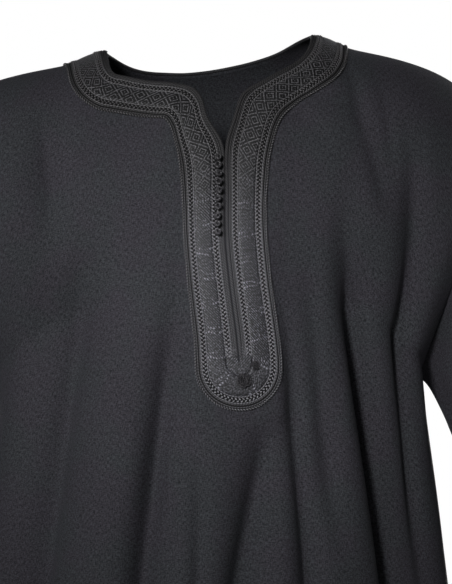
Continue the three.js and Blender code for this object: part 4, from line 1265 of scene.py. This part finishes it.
class ROBE_OT_sleeves(bpy.types.Operator):
    """Makes the two sleeves, from the armholes to the cuffs"""
    bl_idname = "robe.sleeves"
    bl_label = "Sleeves"

    def execute(self, context):
        cloth = context.scene.robe_cloth
        for name, node, side in (
            ("sleeve_left_cloth", "sleeve_left", -1),
            ("sleeve_right_cloth", "sleeve_right", 1),
        ):
            mesh = sleeve_mesh(side, name)
            from_cuff = cuff_centre(side) * MM - read_values(mesh.vertices, "co", 3)
            mark_hem(mesh, from_cuff @ cuff_axis(side), cloth.hem_fold)
            piece = dress_cloth(mesh, name, node, cloth)
        return {"FINISHED"}


def stitch_row(surface, outwards, parameter, step):
    """Places and axes of the stitches along a line of the cloth."""
    lengths = lengths_along(surface(parameter))
    at = np.interp(np.arange(step / 2, lengths[-1], step), lengths, parameter)
    nudge = 0.5 * abs(parameter[1] - parameter[0])
    ahead = unit(surface(at + nudge) - surface(at - nudge))
    offs = outwards(at)
    offs = unit(offs - ahead * np.sum(offs * ahead, axis=-1, keepdims=True))
    return surface(at) + 0.12 * offs, np.stack([ahead, np.cross(offs, ahead), offs], axis=1)


def hem_row(sign, down, step):
    reach = float(half_length(sign * down)) - 1
    return stitch_row(
        lambda across: cloth_points(across, sign * down),
        lambda across: normals_of(cloth_points, across, sign * down + 0 * across),
        np.linspace(-reach, reach, 400), step)


def cuff_row(side, share, span, step):
    centre = sleeve_points(side, np.linspace(1, 289, 20), share).mean(axis=0)
    return stitch_row(
        lambda down: sleeve_points(side, down, share),
        lambda down: sleeve_points(side, down, share) - centre,
        np.linspace(*span, 200), step)


class ROBE_OT_hems(bpy.types.Operator):
    """Sews the stitches along the hem and the cuffs"""
    bl_idname = "robe.hems"
    bl_label = "Hem stitches"

    def execute(self, context):
        cloth = context.scene.robe_cloth
        step, fold = cloth.stitch / MM, cloth.hem_fold / MM
        rows = [hem_row(sign, HEM_DOWN - fold + 2, step) for sign in (1, -1)]
        for side in (-1, 1):
            for span in ((1.0, 289.0), (-289.0, -1.0)):
                rows.append(cuff_row(side, 1 - (fold - 2) / SLEEVE_LENGTH, span, step))
        origins, axes = (np.concatenate(parts) for parts in zip(*rows))
        mesh = repeated(stitch_shape(0.72 * step, 0.55, 0.5, 6, 4), origins, axes, "hem_stitches")
        add_piece(mesh, "hem_stitches", thread_material("sewing_thread", tuple(cloth.color)))
        return {"FINISHED"}


class ROBE_OT_cords(bpy.types.Operator):
    """Lays the trim's ground, its binding and its fine and twisted cords"""
    bl_idname = "robe.cords"
    bl_label = "Cords"

    def execute(self, context):
        trim = context.scene.robe_trim
        color = tuple(trim.cord_color)
        dark = thread_material("dark_cord", color)
        pale = thread_material("pale_cord", color)
        # The trim's ground is painted darker than its cords: partly its own dark colour, partly painted shade
        # between the stitches and cords that lie on it
        ground = strip_mesh(GROUND, "trim_ground")
        add_piece(ground, "trim_ground", thread_material("trim_ground", color))
        binding = binding_mesh("neck_binding")
        add_piece(binding, "neck_binding", thread_material("neck_binding", color))
        inner = cords_at((0.092, 0.13), FINE_CORD, False, "cord_inner_strand")
        add_piece(inner, "fine_cords_inner", dark, ("cord_inner",))
        outer = cords_at((0.875, 0.928), FINE_CORD, True, "cord_outer_strand")
        add_piece(outer, "fine_cords_outer", dark, ("cord_outer",))
        # The edge cord twists two strands of the one cord colour, one painted pale and one dark: a painted
        # highlight on each turn and painted shade between
        edge = cord_mesh(0.974, EDGE_CORD, True, "edge_cord_strand", 5, 2, trim.cord_twist / MM)
        add_piece(edge[0], "edge_cord_pale", pale)
        add_piece(edge[1], "edge_cord_dark", thread_material("edge_cord_dark", color))
        lines = cords_at((0.160, 0.286), LINE_CORD, False, "line_strand")
        lines += cords_at((0.722, 0.846), LINE_CORD, True, "line_strand")
        add_piece(lines, "line_cords", pale)
        return {"FINISHED"}


class ROBE_OT_braids(bpy.types.Operator):
    """Stitches the two herringbone braids"""
    bl_idname = "robe.braids"
    bl_label = "Herringbone braids"

    def execute(self, context):
        trim = context.scene.robe_trim
        rng = random.Random(11)
        thread = thread_material("herringbone_thread", tuple(trim.braid_color))
        for name, node, share, closed in (
            ("herringbone_inner", "braid_inner", 0.223, False),
            ("herringbone_outer", "braid_outer", 0.784, True),
        ):
            mesh = herringbone_mesh(share, trim.braid_pitch / MM, closed, name, rng)
            add_piece(mesh, name, thread, (node,))
        return {"FINISHED"}


class ROBE_OT_ribbon(bpy.types.Operator):
    """Lays the patterned ribbon between the braids"""
    bl_idname = "robe.ribbon"
    bl_label = "Patterned ribbon"

    def execute(self, context):
        ribbon = ribbon_material(context.scene.robe_trim)
        add_piece(strip_mesh(RIBBON, "patterned_ribbon"), "patterned_ribbon", ribbon, ("band_woven",))
        add_piece(foot_mesh(), "ribbon_foot", ribbon)
        return {"FINISHED"}


def stand_frame(across, down, lift):
    """Where a small piece stands on the trim: its place, and the ways to +X, up the cloth and off it."""
    a, d = np.array([float(across)]), np.array([float(down)])
    off = normals_of(cloth_points, a, d)[0]
    right = unit(np.array([1.0, 0, 0]) - off * off[0])
    return on_cloth(a, d, np.array([float(lift)]))[0], np.stack([right, np.cross(off, right), off])


def turned(x, y, angle):
    return x * math.cos(angle) - y * math.sin(angle), x * math.sin(angle) + y * math.cos(angle)


def knot_ring(radius, lean, face):
    """A wavy ring of cord, tipped by lean degrees about a line across it that is turned by face degrees."""
    t = np.linspace(0, 2 * np.pi, 28, endpoint=False)
    y, z = turned(radius * np.sin(t), 0.22 * radius * np.sin(3 * t), math.radians(lean))
    return np.stack([*turned(radius * np.cos(t), y, math.radians(face)), z], axis=-1)


class ROBE_OT_buttons(bpy.types.Operator):
    """Ties the knot buttons and their loops"""
    bl_idname = "robe.buttons"
    bl_label = "Knot buttons"

    def execute(self, context):
        knots = context.scene.robe_knots
        rng = random.Random(knots.seed)
        thread = thread_material("knot_cord", tuple(knots.color))
        loops = thread_material("loop_cord", tuple(knots.color))
        radius = 0.5 * knots.cord / MM
        for k in range(BUTTONS["count"]):
            t = k / (BUTTONS["count"] - 1)
            across = mix(BUTTONS["first_across"], BUTTONS["last_across"], t)
            down = mix(BUTTONS["first_down"], BUTTONS["last_down"], t)
            seat, axes = stand_frame(across, down, STAND_LIFT)
            nudge = np.array([rng.uniform(-0.8, 0.8), rng.uniform(-0.5, 0.5), 0.0])
            stem = seat + np.array([(0, 0, h) for h in np.linspace(-1.2, 3.2, 7)]) @ axes
            meshes = [path_tube(stem, 0.95, 7, "stem")]
            for ring_radius, height, lean, face in KNOT_RINGS:
                ring = knot_ring(ring_radius * rng.uniform(0.85, 1.1), lean + rng.uniform(-28, 28),
                                 face + rng.uniform(-50, 50))
                ring = ring + nudge + np.array([0, 0, height])
                meshes.append(path_tube(seat + ring @ axes, radius, 8, "ring", closed=True))
            number = f"{k + 1:02d}"
            add_piece(meshes, f"knot_{number}", thread, (f"button_{number}",))
            loop = loop_mesh(seat, axes, knots.loop_cord / MM / 2, rng)
            add_piece(loop, f"knot_loop_{number}", loops, (f"loop_{number}",))
        return {"FINISHED"}


def loop_mesh(seat, axes, radius, rng):
    """A loop of cord that holds a knot's stem and is sewn down on the other side of the slit."""
    half = LOOP["half"]
    bend = np.radians(np.linspace(90, 270, 15))
    slack = rng.uniform(0.2, 1.1)
    arm = np.linspace(LOOP["reach"], LOOP["from"], 9)
    sunk = mix(LOOP["high"], LOOP["sunk"], smooth((arm - 2.2) / 2.4))
    points = list(zip(arm, np.full(9, half), sunk))
    points += [((half + slack) * math.cos(a), half * math.sin(a), LOOP["bend_lift"]) for a in bend]
    points += list(zip(arm[::-1], np.full(9, -half), sunk[::-1]))
    return path_tube(seat + np.array(points) @ axes, radius, 6, "loop")


class ROBE_OT_rosettes(bpy.types.Operator):
    """Coils the two rosettes at the foot of the slit"""
    bl_idname = "robe.rosettes"
    bl_label = "Rosettes"

    def execute(self, context):
        knots = context.scene.robe_knots
        rng = random.Random(knots.seed + 1)
        thread = thread_material("rosette_cord", tuple(knots.color))
        light = thread_material("rosette_leaf_cord", tuple(knots.color))
        for rosette in ROSETTES:
            name, radius, turns = rosette["name"], rosette["radius"], rosette["turns"]
            seat, axes = stand_frame(rosette["across"], rosette["down"], STAND_LIFT)
            cord = radius / (2 * turns + 0.6)
            turn = np.linspace(0, 2 * np.pi * turns, 44 * turns)
            reach = mix(cord * 0.6, radius - cord, turn / turn[-1])
            dome = 0.55 + 1.5 * (1 - (reach / radius) ** 2) + 0.25 * np.sin(5 * turn)
            wave = reach * (1 + 0.06 * np.sin(7 * turn))
            spiral = np.stack([wave * np.cos(turn), wave * np.sin(turn), dome], axis=-1)
            coil = path_tube(seat + spiral @ axes, cord * 0.66, 7, "coil")
            leaves = []
            for k in range(rosette["petals"]):
                angle = 2 * np.pi * k / rosette["petals"] + rng.uniform(-0.2, 0.2)
                sweep = np.linspace(0, 2 * np.pi, 15)[:-1]
                x = 0.68 * radius + 0.25 * radius * np.cos(sweep)
                y = 0.25 * radius * np.sin(sweep)
                leaf = np.stack([*turned(x, y, angle), 2.1 + 0.8 * np.cos(2 * sweep + k)], axis=-1)
                leaves.append(path_tube(seat + leaf @ axes, cord * 0.4, 6, "leaf", closed=True))
            add_piece([coil], f"{name}_coil", thread, (name,))
            add_piece(leaves, f"{name}_leaves", light)
        return {"FINISHED"}


def add_lamp(kind, name, location, target, power, **settings):
    """A light that looks at a target."""
    light = bpy.data.lights.new(name, kind)
    light.energy = power
    for key, value in settings.items():
        setattr(light, key, value)
    lamp = bpy.data.objects.new(name, light)
    lamp.location = location
    lamp.rotation_euler = (Vector(target) - Vector(location)).to_track_quat("-Z", "Y").to_euler()
    bpy.context.scene.collection.objects.link(lamp)


def area_light(name, location, target, size, power, color=(1.0, 1.0, 1.0)):
    add_lamp("AREA", name, location, target, power, shape="DISK", size=size, color=color)


def spot_light(name, location, target, degrees, power):
    add_lamp("SPOT", name, location, target, power,
             spot_size=math.radians(degrees), spot_blend=1.0, shadow_soft_size=0.32)


class ROBE_OT_stage(bpy.types.Operator):
    """Sets the floor, the white studio, the lights and the camera"""
    bl_idname = "robe.stage"
    bl_label = "Stage"

    def execute(self, context):
        stage = context.scene.robe_stage
        scene = context.scene
        bm = bmesh.new()
        bmesh.ops.create_circle(bm, cap_ends=True, segments=96, radius=6.0)
        bmesh.ops.translate(bm, verts=bm.verts, vec=(0, 0, HEM_HEIGHT * MM - stage.floor_drop))
        mesh = new_mesh(bm, "floor")
        floor = bpy.data.objects.new("floor", mesh)
        mesh.materials.append(floor_material((0.8, 0.8, 0.79), 0.46))
        scene.collection.objects.link(floor)
        world = bpy.data.worlds.new("studio")
        world.use_nodes = True
        nodes = Nodes(world.node_tree)
        seen = nodes.node("ShaderNodeLightPath").outputs["Is Camera Ray"]
        strength = nodes.math("MULTIPLY_ADD", seen, 1.0 - stage.ambient, stage.ambient)
        nodes.give(world.node_tree.nodes["Background"], {"Color": (1, 1, 1, 1), "Strength": strength})
        scene.world = world
        chest = (0.0, -0.11, -0.25)
        waist = (0.0, 0.0, -0.6)
        area_light("key", (-2.25, -2.15, 0.7), chest, 0.4, stage.key_power, (0.98, 0.99, 1.0))
        spot_light("accent", (-1.15, -2.5, 0.5), (-0.012, -0.11, -0.22), 17.0, stage.accent_power)
        spot_light("skirt_light", (-1.1, -2.6, -0.9), (0.0, -0.1, -1.18), 20.0, stage.skirt_power)
        area_light("side", (2.5, 1.7, 0.1), waist, 1.4, stage.side_power)
        area_light("back_left", (1.0, 3.0, -0.3), waist, 1.6, stage.back_power)
        area_light("back_right", (-1.0, 3.0, -0.3), waist, 1.6, stage.back_power)
        camera = bpy.data.cameras.new("camera")
        camera.sensor_width = 36.0
        camera.lens = camera.sensor_width * stage.distance / stage.view_height
        camera.clip_start, camera.clip_end = 0.05, 50.0
        eye = bpy.data.objects.new("camera", camera)
        target = np.array([0.0, -0.110, -0.234])
        back = np.array([math.sin(stage.azimuth), -math.cos(stage.azimuth), 0.0])
        eye.location = target + back * stage.distance
        eye.rotation_euler = (math.pi / 2, 0.0, stage.azimuth)
        scene.collection.objects.link(eye)
        scene.camera = eye
        scene.view_settings.view_transform = "Standard"
        return {"FINISHED"}


OPERATORS = (
    ROBE_OT_front, ROBE_OT_back, ROBE_OT_sleeves, ROBE_OT_hems, ROBE_OT_cords, ROBE_OT_braids, ROBE_OT_ribbon,
    ROBE_OT_buttons, ROBE_OT_rosettes, ROBE_OT_stage,
)


class ROBE_PT_panel(bpy.types.Panel):
    """The robe's settings and pieces"""
    bl_idname = "ROBE_PT_panel"
    bl_label = "Braided robe"
    bl_space_type = "VIEW_3D"
    bl_region_type = "UI"
    bl_category = "Robe"

    def draw(self, context):
        layout = self.layout
        for name, _ in SETTINGS:
            group = getattr(context.scene, name)
            box = layout.box()
            for key in group.__annotations__:
                box.prop(group, key)
        for operator in OPERATORS:
            layout.operator(operator.bl_idname)


SETTINGS = (
    ("robe_cloth", RobeClothSettings),
    ("robe_trim", RobeTrimSettings),
    ("robe_knots", RobeKnotSettings),
    ("robe_stage", RobeStageSettings),
)


def register():
    for name, group in SETTINGS:
        bpy.utils.register_class(group)
        setattr(bpy.types.Scene, name, PointerProperty(type=group))
    for item in (*OPERATORS, ROBE_PT_panel):
        bpy.utils.register_class(item)


def unregister():
    for item in (ROBE_PT_panel, *reversed(OPERATORS)):
        bpy.utils.unregister_class(item)
    for name, group in reversed(SETTINGS):
        delattr(bpy.types.Scene, name)
        bpy.utils.unregister_class(group)


def main():
    register()
    for operator in OPERATORS:
        group, name = operator.bl_idname.split(".")
        getattr(getattr(bpy.ops, group), name)()


if __name__ == "__main__":
    main()
